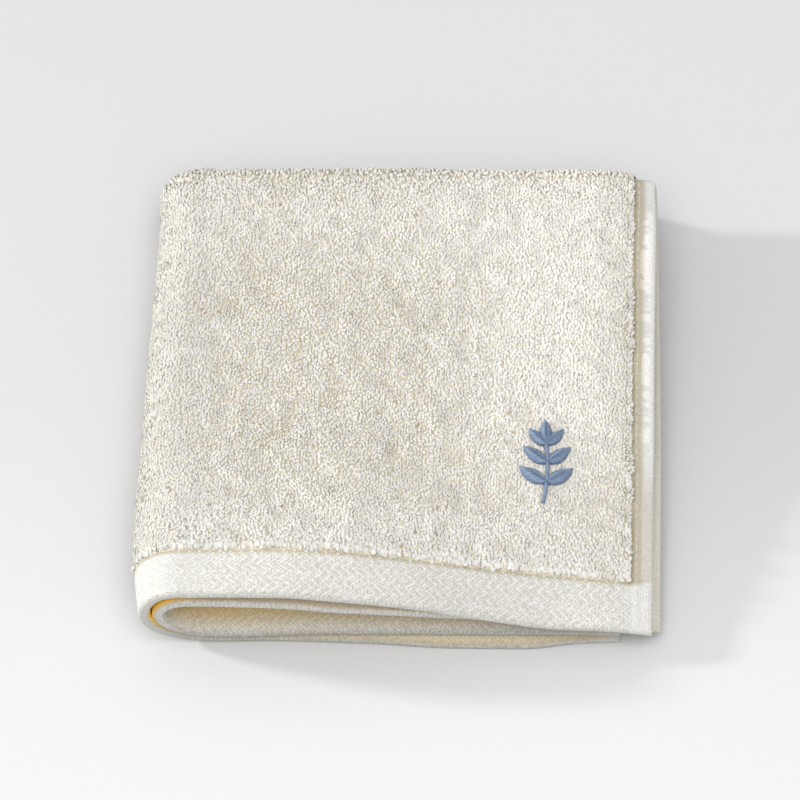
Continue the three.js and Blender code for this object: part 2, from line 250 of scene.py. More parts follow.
def through(xs, ys, x):
    """Monotone cubic curve through points (xs, ys), straight on beyond its ends. ys holds one
    value a point, or for each point an array of x's shape."""
    xs, ys, x = np.asarray(xs, float), np.asarray(ys, float), np.asarray(x, float)
    ys = ys.reshape(ys.shape + (1,) * (x.ndim + 1 - ys.ndim))
    ys = np.broadcast_to(ys, (len(xs),) + x.shape)
    steps = np.diff(xs).reshape((-1,) + (1,) * x.ndim)
    slopes = np.diff(ys, axis=0) / steps
    tangents = np.concatenate([slopes[:1], np.zeros_like(ys[1:-1]), slopes[-1:]])
    if len(xs) > 2:
        before, after, near, far = slopes[:-1], slopes[1:], steps[:-1], steps[1:]
        same = before * after > 0
        w1, w2 = 2 * far + near, far + 2 * near
        blend = (w1 + w2) / (w1 / np.where(same, before, 1) + w2 / np.where(same, after, 1))
        tangents[1:-1] = np.where(same, blend, 0)
    i = np.clip(np.searchsorted(xs, x, side="right") - 1, 0, len(xs) - 2)

    def pick(values, index):
        return np.take_along_axis(values, index[None], axis=0)[0]

    step = xs[i + 1] - xs[i]
    t = (x - xs[i]) / step
    inside = np.clip(t, 0, 1)
    u = 1 - inside
    m0, m1 = pick(tangents, i), pick(tangents, i + 1)
    curve = (pick(ys, i) * (1 + 2 * inside) * u * u
             + pick(ys, i + 1) * inside**2 * (3 - 2 * inside)
             + step * inside * u * (m0 * u - m1 * inside))
    return curve + (t - inside) * step * np.where(t < 0, m0, m1)


def height_at(layer, x, depth):
    """Height of one layer's middle at places on the cloth."""
    rows = np.array([through(ROW_X, heights, x) for heights in HEIGHTS[layer]])
    return through(DEPTHS, rows, np.minimum(depth, DEPTHS[-1]))


def distances(columns, reach, loop):
    """Way from the tip of each column, for a layer of that length from tip to edge. Columns
    count from the upper right edge (0) over the tip (20) to the lower right edge (40)."""
    straight = np.linspace(TURN_LENGTHS[loop], reach - HEM - SHOULDER / 2,
                           STRAIGHT_COLUMNS - TURN_COLUMNS + 1)
    turn = np.linspace(0, TURN_LENGTHS[loop], TURN_COLUMNS + 1)
    knots = np.concatenate([turn, straight[1:], [reach - HEM + SHOULDER / 2, reach]])
    return np.interp(np.abs(columns - SIDE_COLUMNS), np.arange(SIDE_COLUMNS + 1), knots)


def half_path(station, loop, half, columns):
    """Places (x, z) of those columns on one layer at one station."""
    x, z, *reaches = TIPS[loop][station]
    side = 0 if half == "top" else 1
    rows = HEIGHTS[f"{loop}_{half}"][station]
    angle = np.linspace(0, math.pi / 2, 60)[:-1]
    turn_x = x + reaches[side] * (1 - np.cos(angle))
    turn_z = z + (through(ROW_X, rows, turn_x) - z) * np.sin(angle)
    flat_x = np.linspace(x + reaches[side], ENDS[loop][station][side], 240)
    path = np.stack([np.append(turn_x, flat_x),
                     np.append(turn_z, through(ROW_X, rows, flat_x))], axis=1)
    way = np.append(0, np.cumsum(np.linalg.norm(np.diff(path, axis=0), axis=1)))
    at = distances(columns, way[-1], loop)
    return np.stack([np.interp(at, way, path[:, 0]), np.interp(at, way, path[:, 1])], axis=1)


def loop_surface(loop, depths, columns):
    """Points of one loop's middle surface, rows by columns."""
    upper = columns <= SIDE_COLUMNS
    paths = np.array([np.concatenate([half_path(k, loop, "top", columns[upper]),
                                      half_path(k, loop, "low", columns[~upper])])
                      for k in range(len(DEPTHS))])
    share = distances(columns, LAYER_LENGTH, loop) / LAYER_LENGTH
    share = np.where(upper, TIP_SHARE * (1 - share), TIP_SHARE + (1 - TIP_SHARE) * share)
    fade = ramp(depths, EDGE_FADE[1], EDGE_FADE[0])
    y = depths[:, None] + fade[:, None] * through(*NEAR_EDGES[loop], share)[None]
    low = np.minimum(y, DEPTHS[-1])
    x, z = (through(DEPTHS, np.repeat(paths[:, None, :, axis], len(depths), 1), low)
            for axis in (0, 1))
    return np.stack([x, y, z], axis=-1)


def smooth_noise(x, y, cell, seed):
    """Soft random hills from -1 to 1, about one in each cell."""
    table = np.random.default_rng(seed).uniform(-1, 1, (128, 128))
    fx, fy = x / cell + 40.3, y / cell + 40.7
    ix, iy = np.floor(fx).astype(int), np.floor(fy).astype(int)
    tx, ty = fx - ix, fy - iy
    tx, ty = ease(tx), ease(ty)
    low, high = (table[ix % 128, (iy + up) % 128] * (1 - tx)
                 + table[(ix + 1) % 128, (iy + up) % 128] * tx for up in (0, 1))
    return low * (1 - ty) + high * ty


def settled(points, amount):
    """The stack's height made a little uneven, every layer alike, so that none cross. Near its
    edge it is made less uneven."""
    x, y = points[..., 0], points[..., 1]
    hills = smooth_noise(x, y, 31, 5) + 0.45 * smooth_noise(x, y, 13, 6)
    hills = hills * (0.4 + 0.6 * ramp(y, 12, 37))
    points = points.copy()
    points[..., 2] *= 1 + amount * hills
    return points


def unit(vectors):
    """Vectors of the same directions, each one long."""
    return vectors / np.maximum(np.linalg.norm(vectors, axis=-1, keepdims=True), 1e-9)


def fold_grid(settings):
    """The cloth's middle surface with its directions, its places on the flat cloth and the
    room that the pile has on each face."""
    rim = [0, 0.25, 0.6, 1.1]
    near = np.array(rim + list(np.arange(2.2, 16.5, 1.3)) + [16.9, 17.5, 18.1, 19.5])
    depths = np.concatenate([near, np.linspace(22, FOLD_START, 46)])
    hem_columns = SIDE_COLUMNS - np.array(rim + [2, 3, 4, 5, 6, 6.8]) / (HEM - SHOULDER / 2)
    side = np.concatenate([np.linspace(0, TURN_COLUMNS, 2 * TURN_COLUMNS + 1),
                           np.linspace(TURN_COLUMNS, STRAIGHT_COLUMNS, 45)[1:],
                           [18.5, 19], hem_columns[::-1]])
    columns = np.concatenate([SIDE_COLUMNS - side[::-1], SIDE_COLUMNS + side[1:]])
    outer = loop_surface("outer", depths, columns)
    inner = loop_surface("inner", depths, columns)
    turn = np.linspace(0, math.pi, 15)[1:-1, None, None]
    half = (outer[-1] - inner[-1])[None] / 2
    fold = inner[-1] + half + half * np.cos(turn)
    fold[..., 1] += np.linalg.norm(half, axis=-1) * np.sin(turn[..., 0])
    # The upper layer's hem stands up a little along the middle of its length
    way = distances(np.minimum(columns, SIDE_COLUMNS), LAYER_LENGTH, "outer")
    to_end = ramp(way, LAYER_LENGTH - HEM_CURL_WIDTH, LAYER_LENGTH)
    lifted = ramp(depths, 52, 68) * ramp(depths, 156, 142)
    outer[..., 2] += HEM_CURL * ease(lifted)[:, None] * ease(to_end)[None]
    points = settled(np.concatenate([outer, fold, inner[::-1]]), settings.settle)

    across = unit(np.gradient(points, axis=1))
    along = unit(np.gradient(points, axis=0))
    grid = SimpleNamespace(points=points, across=across, along=along)
    grid.outward = unit(np.cross(along, across))
    grid.rows = np.concatenate([depths, FOLD_START + FOLD_RADIUS * turn[:, 0, 0],
                                2 * FOLD_START + FOLD_RADIUS * math.pi - depths[::-1]])
    grid.last = grid.rows[-1]
    sign = np.where(columns < SIDE_COLUMNS, -1, 1)
    grid.columns = sign * distances(columns, LAYER_LENGTH + 8, "outer")
    grid.side = grid.columns[-1]
    grid.depth = np.concatenate([depths, np.full(len(turn), FOLD_START), depths[::-1]])
    on_fold = (grid.rows > FOLD_START) & (grid.rows < grid.last - FOLD_START)
    on_inner = grid.rows > grid.last / 2

    x = np.maximum(points[..., 0], ROW_X[0])
    deep = np.minimum(np.repeat(grid.depth[:, None], len(columns), 1), FOLD_START)
    top, inner_top, inner_low, low = (height_at(k, x, deep) for k in HEIGHTS)
    press = np.where(on_fold, FOLD_PRESS, 1.0)[:, None]
    between = np.where(columns[None] <= SIDE_COLUMNS, top - inner_top, inner_low - low)
    room_in, grid.room_back = (np.clip((room - LAYER_GAP) / 2, 0, LOFT / 2)
                               for room in (inner_top - inner_low, between * press))
    grid.room_out = np.where((on_fold | on_inner)[:, None], room_in, LOFT / 2)
    return grid


def sampled(grid, values, s, v):
    """values of the grid at places on the flat cloth: s across from the tip, v along."""
    c = np.interp(s, grid.columns, np.arange(len(grid.columns)))
    r = np.interp(v, grid.rows, np.arange(len(grid.rows)))
    c0 = np.minimum(c.astype(int), len(grid.columns) - 2)
    r0 = np.minimum(r.astype(int), len(grid.rows) - 2)
    tc, tr = c - c0, r - r0
    if values.ndim == 3:
        tc, tr = tc[:, None], tr[:, None]
    near = values[r0, c0] * (1 - tc) + values[r0, c0 + 1] * tc
    far = values[r0 + 1, c0] * (1 - tc) + values[r0 + 1, c0 + 1] * tc
    return near * (1 - tr) + far * tr


def on_cloth(grid, s, v, side=1):
    """Places on the cloth's middle, with their directions and the pile's room on one face."""
    spot = SimpleNamespace(middle=sampled(grid, grid.points, s, v))
    spot.room = sampled(grid, grid.room_out if side > 0 else grid.room_back, s, v)
    for key in ("outward", "along", "across"):
        setattr(spot, key, unit(sampled(grid, getattr(grid, key), s, v)))
    spot.outward = spot.outward * side
    return spot


def edge_distance(grid, s, v):
    """Distances to the nearest side edge and to the nearest near edge."""
    return grid.side - np.abs(s), np.minimum(v, grid.last - v)


def clumps(s, v):
    """Soft hills of the pile, from about -1 to 1, where the loops stand in clumps."""
    return smooth_noise(s, v, 4.2, 36) + 0.5 * smooth_noise(s, v, 9, 35)


def clump_slopes(s, v):
    """How far the loops lean down the slopes of the clumps, across and along."""
    here = clumps(s, v)
    return (here - clumps(s + 0.4, v)) / 0.4, (here - clumps(s, v + 0.4)) / 0.4


def flat_areas(s, v):
    """How far a place is in the right, far and near parts of the top, each from 0 to 1."""
    right = np.exp(-((s + 140) / 36) ** 2) * ramp(v, 30, 70)
    return right, ramp(v, 120, 150), ramp(v, 60, 30)


def brushed(s, v):
    """How flat and even the loops of the top layer lie, from 0 to 1: most at the right."""
    right, far, near = flat_areas(s, v)
    return np.clip(right + 0.6 * far + 0.5 * near + left_fold(s), 0, 1)


def left_fold(s):
    """How near a place is to the left fold, from 0 to 1."""
    return ramp(s, -34, -8)


def left_turn(s, v):
    """How far a place is on the turn of the outer loop at the left, from 0 to 1."""
    return left_fold(s) * ramp(s, 30, 14) * (v < FOLD_START)


def swell(s, v):
    """How far the pile stands over or under its middle height."""
    return 0.45 * clumps(s, v) * (1 - 0.6 * brushed(s, v))


def between_layers(grid, s, v, side):
    """How much the cloth of one face is seen by light that has gone round between the layers,
    from 0 to 1, which is painted as tan shade and, where strongest, as orange glow. Most of it
    is in the narrow gap at the left."""
    to_side, to_near = edge_distance(grid, s, v)
    mouth = 0.66 * (v > grid.last - FOLD_START) * ramp(to_near, 1.2, 8.2)
    gap = np.clip(1.6 - np.abs(s) / 22, 0.35, 1) * ramp(to_near, 0.25, 0.85)
    return np.where(side > 0, mouth, gap * ramp(to_side, 3.4, 4.9))


def half_thickness(grid, settings, s, v, room, side=1):
    """Half the thickness of the cloth without its pile, rounded at its edges. Between the
    layers the cloth of the left turn swells until they nearly touch."""
    to_side, to_near = edge_distance(grid, s, v)
    ground, border, hem = (k / MM / 2 for k in (settings.ground, settings.border, settings.hem))
    flat = np.where((to_side < HEM) & (to_near > BORDER), hem, border)
    flat = np.minimum(flat, np.maximum(room, 1.0))
    if side < 0:
        swollen = ramp(to_near, 0.5, 1.2) * ramp(np.abs(s), 28, 14)
        flat = flat + np.maximum(2.25 - flat, 0) * swollen
    rise = ramp(np.minimum(to_side - HEM, to_near - BORDER), 0, SHOULDER)
    thick = np.minimum(ground + swell(s, v), room * 0.85)
    rim = ramp(np.minimum(to_side, to_near), 1.1, 0)
    return (flat + (thick - flat) * rise) * np.sqrt(1 - 0.9 * rim**2)


# Small tools

def linear(hex_value):
    """An sRGB hex colour as a linear one."""
    parts = [int(hex_value[i:i + 2], 16) / 255 for i in (1, 3, 5)]
    return (*(p / 12.92 if p <= 0.04045 else ((p + 0.055) / 1.055) ** 2.4 for p in parts), 1.0)


def add(tree, kind, inputs=(), **settings):
    """A node with its settings. Its inputs are given in their order, or by name or number, as
    values, hex colours, sockets, or nodes whose first output in use is linked."""
    node = tree.nodes.new(kind)
    for name, value in settings.items():
        setattr(node, name, value)
    for key, value in inputs.items() if isinstance(inputs, dict) else enumerate(inputs):
        if isinstance(value, bpy.types.Node):
            value = next(socket for socket in value.outputs if socket.enabled)
        if isinstance(value, bpy.types.NodeSocket):
            tree.links.new(value, node.inputs[key])
        else:
            is_colour = isinstance(value, str) and value.startswith("#")
            node.inputs[key].default_value = linear(value) if is_colour else value
    return node


def mesh_object(name, points, faces=(), **marks):
    """A mesh object from points in millimetres in the tables' place. Marks are values kept on
    its points as named attributes."""
    mesh = bpy.data.meshes.new(name)
    mesh.from_pydata((np.asarray(points) + SHIFT) * MM, [], faces)
    for mark, values in marks.items():
        values = np.asarray(values, np.float32)
        kind, key = ("FLOAT_VECTOR", "vector") if values.ndim == 2 else ("FLOAT", "value")
        mesh.attributes.new(mark, kind, "POINT").data.foreach_set(key, values.ravel())
    item = bpy.data.objects.new(name, mesh)
    bpy.context.scene.collection.objects.link(item)
    return item


def closed_faces(rows, columns):
    """Quads of a closed body between a sheet of points and as many points of its back."""
    front = np.arange(rows * columns).reshape(rows, columns)
    back = front + rows * columns
    faces = []
    for sheet, order in ((front, 1), (back, -1)):
        corners = [sheet[:-1, :-1], sheet[1:, :-1], sheet[1:, 1:], sheet[:-1, 1:]]
        faces.append(np.stack(corners[::order], axis=-1).reshape(-1, 4))
    for a, b in ((back[:, 0], front[:, 0]), (front[:, -1], back[:, -1]),
                 (front[0], back[0]), (back[-1], front[-1])):
        faces.append(np.stack([a[:-1], a[1:], b[1:], b[:-1]], axis=-1))
    return np.concatenate(faces)


def grown(name, source, tree, sizes):
    """A plain mesh piece from what the tree makes of the source, which then goes. Nothing of
    it reaches under the floor."""
    modifier = source.modifiers.new(tree.name, "NODES")
    modifier.node_group = tree
    for socket in tree.interface.items_tree:
        if socket.item_type == "SOCKET" and socket.name in sizes:
            modifier[socket.identifier] = sizes[socket.name]
    evaluated = source.evaluated_get(bpy.context.evaluated_depsgraph_get())
    mesh = bpy.data.meshes.new_from_object(evaluated)
    source.modifiers.remove(modifier)
    bpy.data.objects.remove(source)
    if not mesh.polygons:
        raise RuntimeError(f"{name} came out empty")
    points = np.zeros(len(mesh.vertices) * 3, np.float32)
    mesh.vertices.foreach_get("co", points)
    points[2::3] = np.maximum(points[2::3], FLOOR_GAP * MM)
    mesh.vertices.foreach_set("co", points)
    mesh.name = name
    piece = bpy.data.objects.new(name, mesh)
    bpy.context.scene.collection.objects.link(piece)
    return piece


def open_tree(name, sizes):
    """A new geometry tree with a geometry input, and one named input for each size."""
    tree = bpy.data.node_groups.new(name, "GeometryNodeTree")
    tree.interface.new_socket("Places", in_out="INPUT", socket_type="NodeSocketGeometry")
    for size, value in sizes.items():
        kind = "NodeSocketInt" if isinstance(value, int) else "NodeSocketFloat"
        tree.interface.new_socket(size, in_out="INPUT", socket_type=kind).default_value = value
    tree.interface.new_socket("Result", in_out="OUTPUT", socket_type="NodeSocketGeometry")
    return tree, add(tree, "NodeGroupInput").outputs


def close_tree(tree, given, body, material, size, least, most, spread, **settings):
    """Puts a body on each place: up along the attribute outward and forward along the
    attribute along, with its size varied from least to most and its lean by the angles of
    spread. Then gives each a random tint, makes them real and sets their material."""
    outward, along = (add(tree, "GeometryNodeInputNamedAttribute", {"Name": key},
                          data_type="FLOAT_VECTOR") for key in ("outward", "along"))
    upright = add(tree, "FunctionNodeAxesToRotation",
                  {"Primary Axis": outward, "Secondary Axis": along},
                  primary_axis="Z", secondary_axis="X")
    spin, vary = (add(tree, "FunctionNodeRandomValue",
                      {"Min": low, "Max": high, "Seed": given["Seed"]}, data_type="FLOAT_VECTOR")
                  for low, high in ((tuple(-angle for angle in spread), spread), (least, most)))
    rotation = add(tree, "FunctionNodeRotateRotation", {"Rotation": upright, "Rotate By": spin},
                   rotation_space="LOCAL")
    scale = add(tree, "ShaderNodeVectorMath", (vary, size), operation="MULTIPLY")
    bodies = add(tree, "GeometryNodeInstanceOnPoints",
                 {"Points": given["Places"], "Instance": body, "Rotation": rotation,
                  "Scale": scale, **settings})
    tint = add(tree, "FunctionNodeRandomValue", {"Seed": given["Seed"]}, data_type="FLOAT")
    stored = add(tree, "GeometryNodeStoreNamedAttribute",
                 {"Geometry": bodies, "Name": "tint", "Value": tint},
                 data_type="FLOAT", domain="INSTANCE")
    real = add(tree, "GeometryNodeRealizeInstances", {"Geometry": stored})
    smooth = add(tree, "GeometryNodeSetShadeSmooth", {"Geometry": real})
    coated = add(tree, "GeometryNodeSetMaterial", {"Geometry": smooth, "Material": material})
    add(tree, "NodeGroupOutput", (coated,))
    return tree


def pile_tree(material):
    """Terry loops: bowed yarns with both feet in the ground, one on each root. They are
    thicker and wider apart than real ones, which would be too fine to show in the render."""
    tree, given = open_tree("Terry loops", {"Yarn": 0.8 * MM, "Span": 2.2 * MM,
                                            "Yarn sides": 4, "Steps": 6, "Seed": 11})
    line = add(tree, "GeometryNodeCurvePrimitiveLine")
    steps = add(tree, "GeometryNodeResampleCurve", {"Curve": line, "Count": given["Steps"]})
    factor = add(tree, "GeometryNodeSplineParameter")
    # The loop goes round from under one foot, over its top, to under the other
    under = 0.15 * math.pi
    angle = add(tree, "ShaderNodeMapRange", (factor, 0.0, 1.0, -under, math.pi + under))
    rise = add(tree, "ShaderNodeMath", (angle,), operation="SINE")
    reach = add(tree, "ShaderNodeMapRange", (rise, -0.454, 1.0))
    ahead = add(tree, "ShaderNodeMath", (angle,), operation="COSINE")
    ahead = add(tree, "ShaderNodeMath", (ahead, given["Span"]), operation="MULTIPLY")
    ahead = add(tree, "ShaderNodeMath", (ahead, -0.5), operation="MULTIPLY")
    twice = add(tree, "ShaderNodeMath", (angle, 2.0), operation="MULTIPLY")
    sway = add(tree, "ShaderNodeMath", (twice,), operation="SINE")
    up = add(tree, "ShaderNodeMath", (reach, MM), operation="MULTIPLY")
    radius = add(tree, "ShaderNodeMath", (given["Yarn"], 0.5), operation="MULTIPLY")
    section = add(tree, "GeometryNodeCurvePrimitiveCircle",
                  {"Resolution": given["Yarn sides"], "Radius": radius})
    kinds = add(tree, "GeometryNodeJoinGeometry")
    here = add(tree, "ShaderNodeSeparateXYZ", (add(tree, "GeometryNodeInputPosition"),))
    height = add(tree, "ShaderNodeMapRange", (here.outputs[2], -0.3 * MM, 1.4 * MM))
    # Side sway, sideways lean and forward lean of five kinds of loop, in millimetres
    for side, lean, forward in ((0.0, 0.1, 0.3), (-0.06, 0.3, -0.2), (0.05, -0.35, 0.1),
                                (0.0, 0.15, 0.45), (0.08, -0.2, -0.45)):
        aside = add(tree, "ShaderNodeMath", (sway, side * MM), operation="MULTIPLY")
        aside = add(tree, "ShaderNodeMath", (reach, lean * MM, aside), operation="MULTIPLY_ADD")
        on = add(tree, "ShaderNodeMath", (reach, forward * MM, ahead), operation="MULTIPLY_ADD")
        place = add(tree, "ShaderNodeCombineXYZ", (on, aside, up))
        bowed = add(tree, "GeometryNodeSetPosition", {"Geometry": steps, "Position": place})
        yarn = add(tree, "GeometryNodeCurveToMesh",
                   {"Curve": bowed, "Profile Curve": section, "Fill Caps": True})
        kept = add(tree, "GeometryNodeStoreNamedAttribute",
                   {"Geometry": yarn, "Name": "reach", "Value": height},
                   data_type="FLOAT", domain="POINT")
        single = add(tree, "GeometryNodeGeometryToInstance", (kept,))
        tree.links.new(single.outputs[0], kinds.inputs[0])
    stout, tall = (add(tree, "GeometryNodeInputNamedAttribute", {"Name": key},
                       data_type="FLOAT") for key in ("stout", "tall"))
    size = add(tree, "ShaderNodeCombineXYZ", (stout, stout, tall))
    choice = add(tree, "FunctionNodeRandomValue", {"Min": 0, "Max": 4, "Seed": given["Seed"]},
                 data_type="INT")
    tilt, turn = math.radians(9), math.radians(26)
    return close_tree(tree, given, kinds, material, size, (0.78, 0.85, 0.8), (1.25, 1.2, 1.12),
                      (tilt, tilt, turn), **{"Pick Instance": True, "Instance Index": choice})


def thread_tree(name, material, sides, rings):
    """Short raised threads: one rounded body on each place, as long as its attribute says.
    Fullness makes its ends thicker."""
    tree, given = open_tree(name, {"Width": MM, "Height": MM, "Seed": 3, "Fullness": 0.0})
    body = add(tree, "GeometryNodeMeshUVSphere", {"Segments": sides, "Rings": rings, "Radius": 0.5})
    body = add(tree, "GeometryNodeTransform", {"Geometry": body, "Rotation": (0, math.pi / 2, 0)})
    place = add(tree, "GeometryNodeInputPosition")
    x, _, z = add(tree, "ShaderNodeSeparateXYZ", (place,)).outputs
    square = add(tree, "ShaderNodeMath", (x, x), operation="MULTIPLY")
    wider = add(tree, "ShaderNodeMath", (square, given["Fullness"], 1.0), operation="MULTIPLY_ADD")
    stretch = add(tree, "ShaderNodeCombineXYZ", (1.0, wider, wider))
    moved = add(tree, "ShaderNodeVectorMath", (place, stretch), operation="MULTIPLY")
    body = add(tree, "GeometryNodeSetPosition", {"Geometry": body, "Position": moved})
    body = add(tree, "GeometryNodeStoreNamedAttribute",
               {"Geometry": body, "Name": "reach", "Value": z}, data_type="FLOAT", domain="POINT")
    long = add(tree, "GeometryNodeInputNamedAttribute", {"Name": "long"}, data_type="FLOAT")
    size = add(tree, "ShaderNodeCombineXYZ", (long, given["Width"], given["Height"]))
    return close_tree(tree, given, body, material, size, (0.9, 0.78, 0.7), (1.06, 1.12, 1.2),
                      (0.0, 0.0, math.radians(4)))


# Materials

def open_material(name):
    """A new material, its tree, and the object's own coordinates in it."""
    material = bpy.data.materials.new(name)
    material.use_nodes = True
    material.node_tree.nodes.clear()
    place = add(material.node_tree, "ShaderNodeTexCoord").outputs["Object"]
    return material, material.node_tree, place


def close_material(material, inputs):
    """The material with its principled shader."""
    shader = add(material.node_tree, "ShaderNodeBsdfPrincipled", inputs)
    add(material.node_tree, "ShaderNodeOutputMaterial", {"Surface": shader})
    return material


def cotton(name, grain, patch, *marks):
    """A new material for cotton: with its tree come two noises, the fibres' and the slow
    change of tone, and the marks that it reads. grain and patch are the noises' scales in mm."""
    material, tree, place = open_material(name)
    fibre = add(tree, "ShaderNodeTexNoise",
                {"Vector": place, "Scale": 1 / (grain * MM), "Detail": 3.0, "Roughness": 0.6})
    mottle = add(tree, "ShaderNodeTexNoise",
                 {"Vector": place, "Scale": 1 / (patch * MM), "Detail": 2.0})
    return (material, tree, fibre, mottle,
            *(add(tree, "ShaderNodeAttribute", attribute_name=mark).outputs["Fac"]
              for mark in marks))


def laid_over(tree, colour_below, *layers):
    """A colour with others laid over it in turn, each as far as its share says."""
    for share, above in layers:
        colour_below = add(tree, "ShaderNodeMix", {0: share, 6: colour_below, 7: above},
                           data_type="RGBA")
    return colour_below


def product(tree, first, *others):
    """Values multiplied with each other."""
    for other in others:
        first = add(tree, "ShaderNodeMath", (first, other), operation="MULTIPLY")
    return first


def wave(tree, way, pitch, shape="SINE"):
    """A wave from -1 to 1 along a way, with one turn in each pitch."""
    turns = add(tree, "ShaderNodeMath", (way, 2 * math.pi / pitch), operation="MULTIPLY")
    return add(tree, "ShaderNodeMath", (turns,), operation=shape)


def loop_material(pile):
    """Terry pile, or towelling: soft twisted cotton yarn that a slack warp leaves standing in
    loops on the loom, uncut and undyed. The tips are cream; the loops' feet are painted tan as
    shade in the depth where light goes round between the loops, and paler where the loops lie
    flat, as painted light. A few loops are straw-coloured, and loops in holes and creases are
    painted the same straw colour as shade."""
    material, tree, fibre, mottle, reach, tint, flat, deep, bright = cotton(
        "looped_cotton_yarn", 0.3, 9, "reach", "tint", "brushed", "deep", "bright")
    # Painted shade: by height, tan feet and cream tops; flat loops have paler feet, as painted
    # light
    high = add(tree, "ShaderNodeMapRange", (reach, 0.35, 0.92))
    # A few loops have a touch of straw of their own; holes and creases get it as painted shade
    straw = add(tree, "ShaderNodeMapRange", (tint, 0.85, 1.0, 0.0, 0.14))
    straw = add(tree, "ShaderNodeMath", (deep, 0.75, straw), operation="MULTIPLY_ADD")
    body = laid_over(tree, pile.root_colour, (flat, pile.brushed_root),
                     (high, pile.tip_colour), (straw, pile.straw_and_hole_shade))
    # Random tone, with painted light from bright: brighter on the top's right, near and far parts,
    # darker on the left fold
    shade = add(tree, "ShaderNodeMapRange", (mottle, 0.3, 0.7, 0.93, 1.0))
    shade = add(tree, "ShaderNodeMath", (bright, shade), operation="ADD")
    toned = add(tree, "ShaderNodeVectorMath", {0: body, 3: shade}, operation="SCALE")
    # Fuzzy, translucent yarn is nearly as bright on its far side as on its lit one, so the
    # shading follows the face of the cloth as much as the roundness of the yarn
    face = add(tree, "ShaderNodeAttribute", attribute_name="face").outputs["Vector"]
    own = add(tree, "ShaderNodeNewGeometry").outputs["Normal"]
    even = add(tree, "ShaderNodeMath", (flat, 0.2, 0.77), operation="MULTIPLY_ADD")
    soft = add(tree, "ShaderNodeMix", {0: even, 4: own, 5: face}, data_type="VECTOR")
    soft = add(tree, "ShaderNodeVectorMath", (soft,), operation="NORMALIZE")
    bump = add(tree, "ShaderNodeBump", {"Height": fibre, "Strength": 0.4,
                                        "Distance": 0.08 * MM, "Normal": soft})
    return close_material(material, {"Base Color": toned, "Normal": bump, "Roughness": 0.92,
                                     "Specular IOR Level": 0.2, "Sheen Weight": 0.15,
                                     "Sheen Roughness": 0.6})


def weave_material(name, cloth, pattern, groove, yarns, strips=()):
    """Plain flat cotton weave, beaten up tight on the loom without loops: even and matt, with
    small ribs where it turns over an edge. pattern makes a socket from the tree, the place on
    the flat cloth, its parts and the way to the near edge: high on the yarns and low in the
    grooves, which get the groove colour as painted shade. strips are painted shadows of the
    pile beside it: a way, where each starts and is full, its share. Marks add painted tan shade
    between the layers, painted orange glow where that light is strongest, painted shade on the
    lips and the left turn, and paler painted grooves under flat loops and on the left turn.
    Yarns and ribs are drawn coarser than real ones, so that they show."""
    material, tree, fibre, mottle, rim, pale, inside, foot, dim, to_side, to_near = cotton(
        name, 0.35, 0.9, "rim", "pale", "inside", "foot", "dim", "to_side", "to_near")
    place = add(tree, "ShaderNodeUVMap", uv_map="flat_cloth")
    parts = add(tree, "ShaderNodeSeparateXYZ", (place,)).outputs
    rib = add(tree, "ShaderNodeMapRange", (wave(tree, parts[0], 1.3 * MM), -1.0, 1.0, 0.2, 0.7))
    raised = add(tree, "ShaderNodeMix",
                 {0: rim, 2: pattern(tree, place, parts, to_near), 3: rib})
    broken = add(tree, "ShaderNodeMapRange", (mottle, 0.35, 0.65, -0.4, 0.3))
    raised = add(tree, "ShaderNodeMath", (raised, broken), operation="ADD", use_clamp=True)
    # Painted light: where pale, the grooves take the yarns' paler colour
    raised = add(tree, "ShaderNodeMath", (raised, pale), operation="MAXIMUM")
    uneven = add(tree, "ShaderNodeMapRange", (mottle, 0.35, 0.6, 0.6))
    past_border = add(tree, "ShaderNodeMapRange", (to_near, (BORDER - 2) * MM, BORDER * MM))
    for way, start, full, share in strips:
        across = way == "to_side"
        strip = add(tree, "ShaderNodeMapRange",
                    (to_side if across else to_near, start * MM, full * MM, 0.0, share))
        strip = product(tree, strip, uneven, *([past_border] if across else []))
        foot = add(tree, "ShaderNodeMath", (foot, strip), operation="MAXIMUM")
    # Painted light and shade: tan between the layers, orange glow where most light comes through,
    # and the pile's shadow beside the pile
    gap = add(tree, "ShaderNodeMapRange", (inside, 0.5, 0.9))
    body = laid_over(tree, groove, (raised, yarns),
                     (inside, laid_over(tree, INSIDE_SHADE_TAN, (gap, GAP_GLOW_ORANGE))),
                     (foot, cloth.pile_shadow))
    grain = add(tree, "ShaderNodeMapRange", (fibre, 0.3, 0.7, 0.95, 1.0))
    picks = add(tree, "ShaderNodeMapRange", (mottle, 0.35, 0.65, 0.9, 1.03))
    # Random tone, less the painted shade of dim on the lips and the left turn
    shade = add(tree, "ShaderNodeMath", (product(tree, grain, picks), dim), operation="SUBTRACT")
    toned = add(tree, "ShaderNodeVectorMath", {0: body, 3: shade}, operation="SCALE")
    relief = add(tree, "ShaderNodeMath", (fibre, 0.5, raised), operation="MULTIPLY_ADD")
    bump = add(tree, "ShaderNodeBump", {"Height": relief, "Strength": 0.5, "Distance": 0.16 * MM})
    return close_material(material, {"Base Color": toned, "Normal": bump, "Roughness": 0.85,
                                     "Specular IOR Level": 0.25, "Sheen Weight": 0.1})


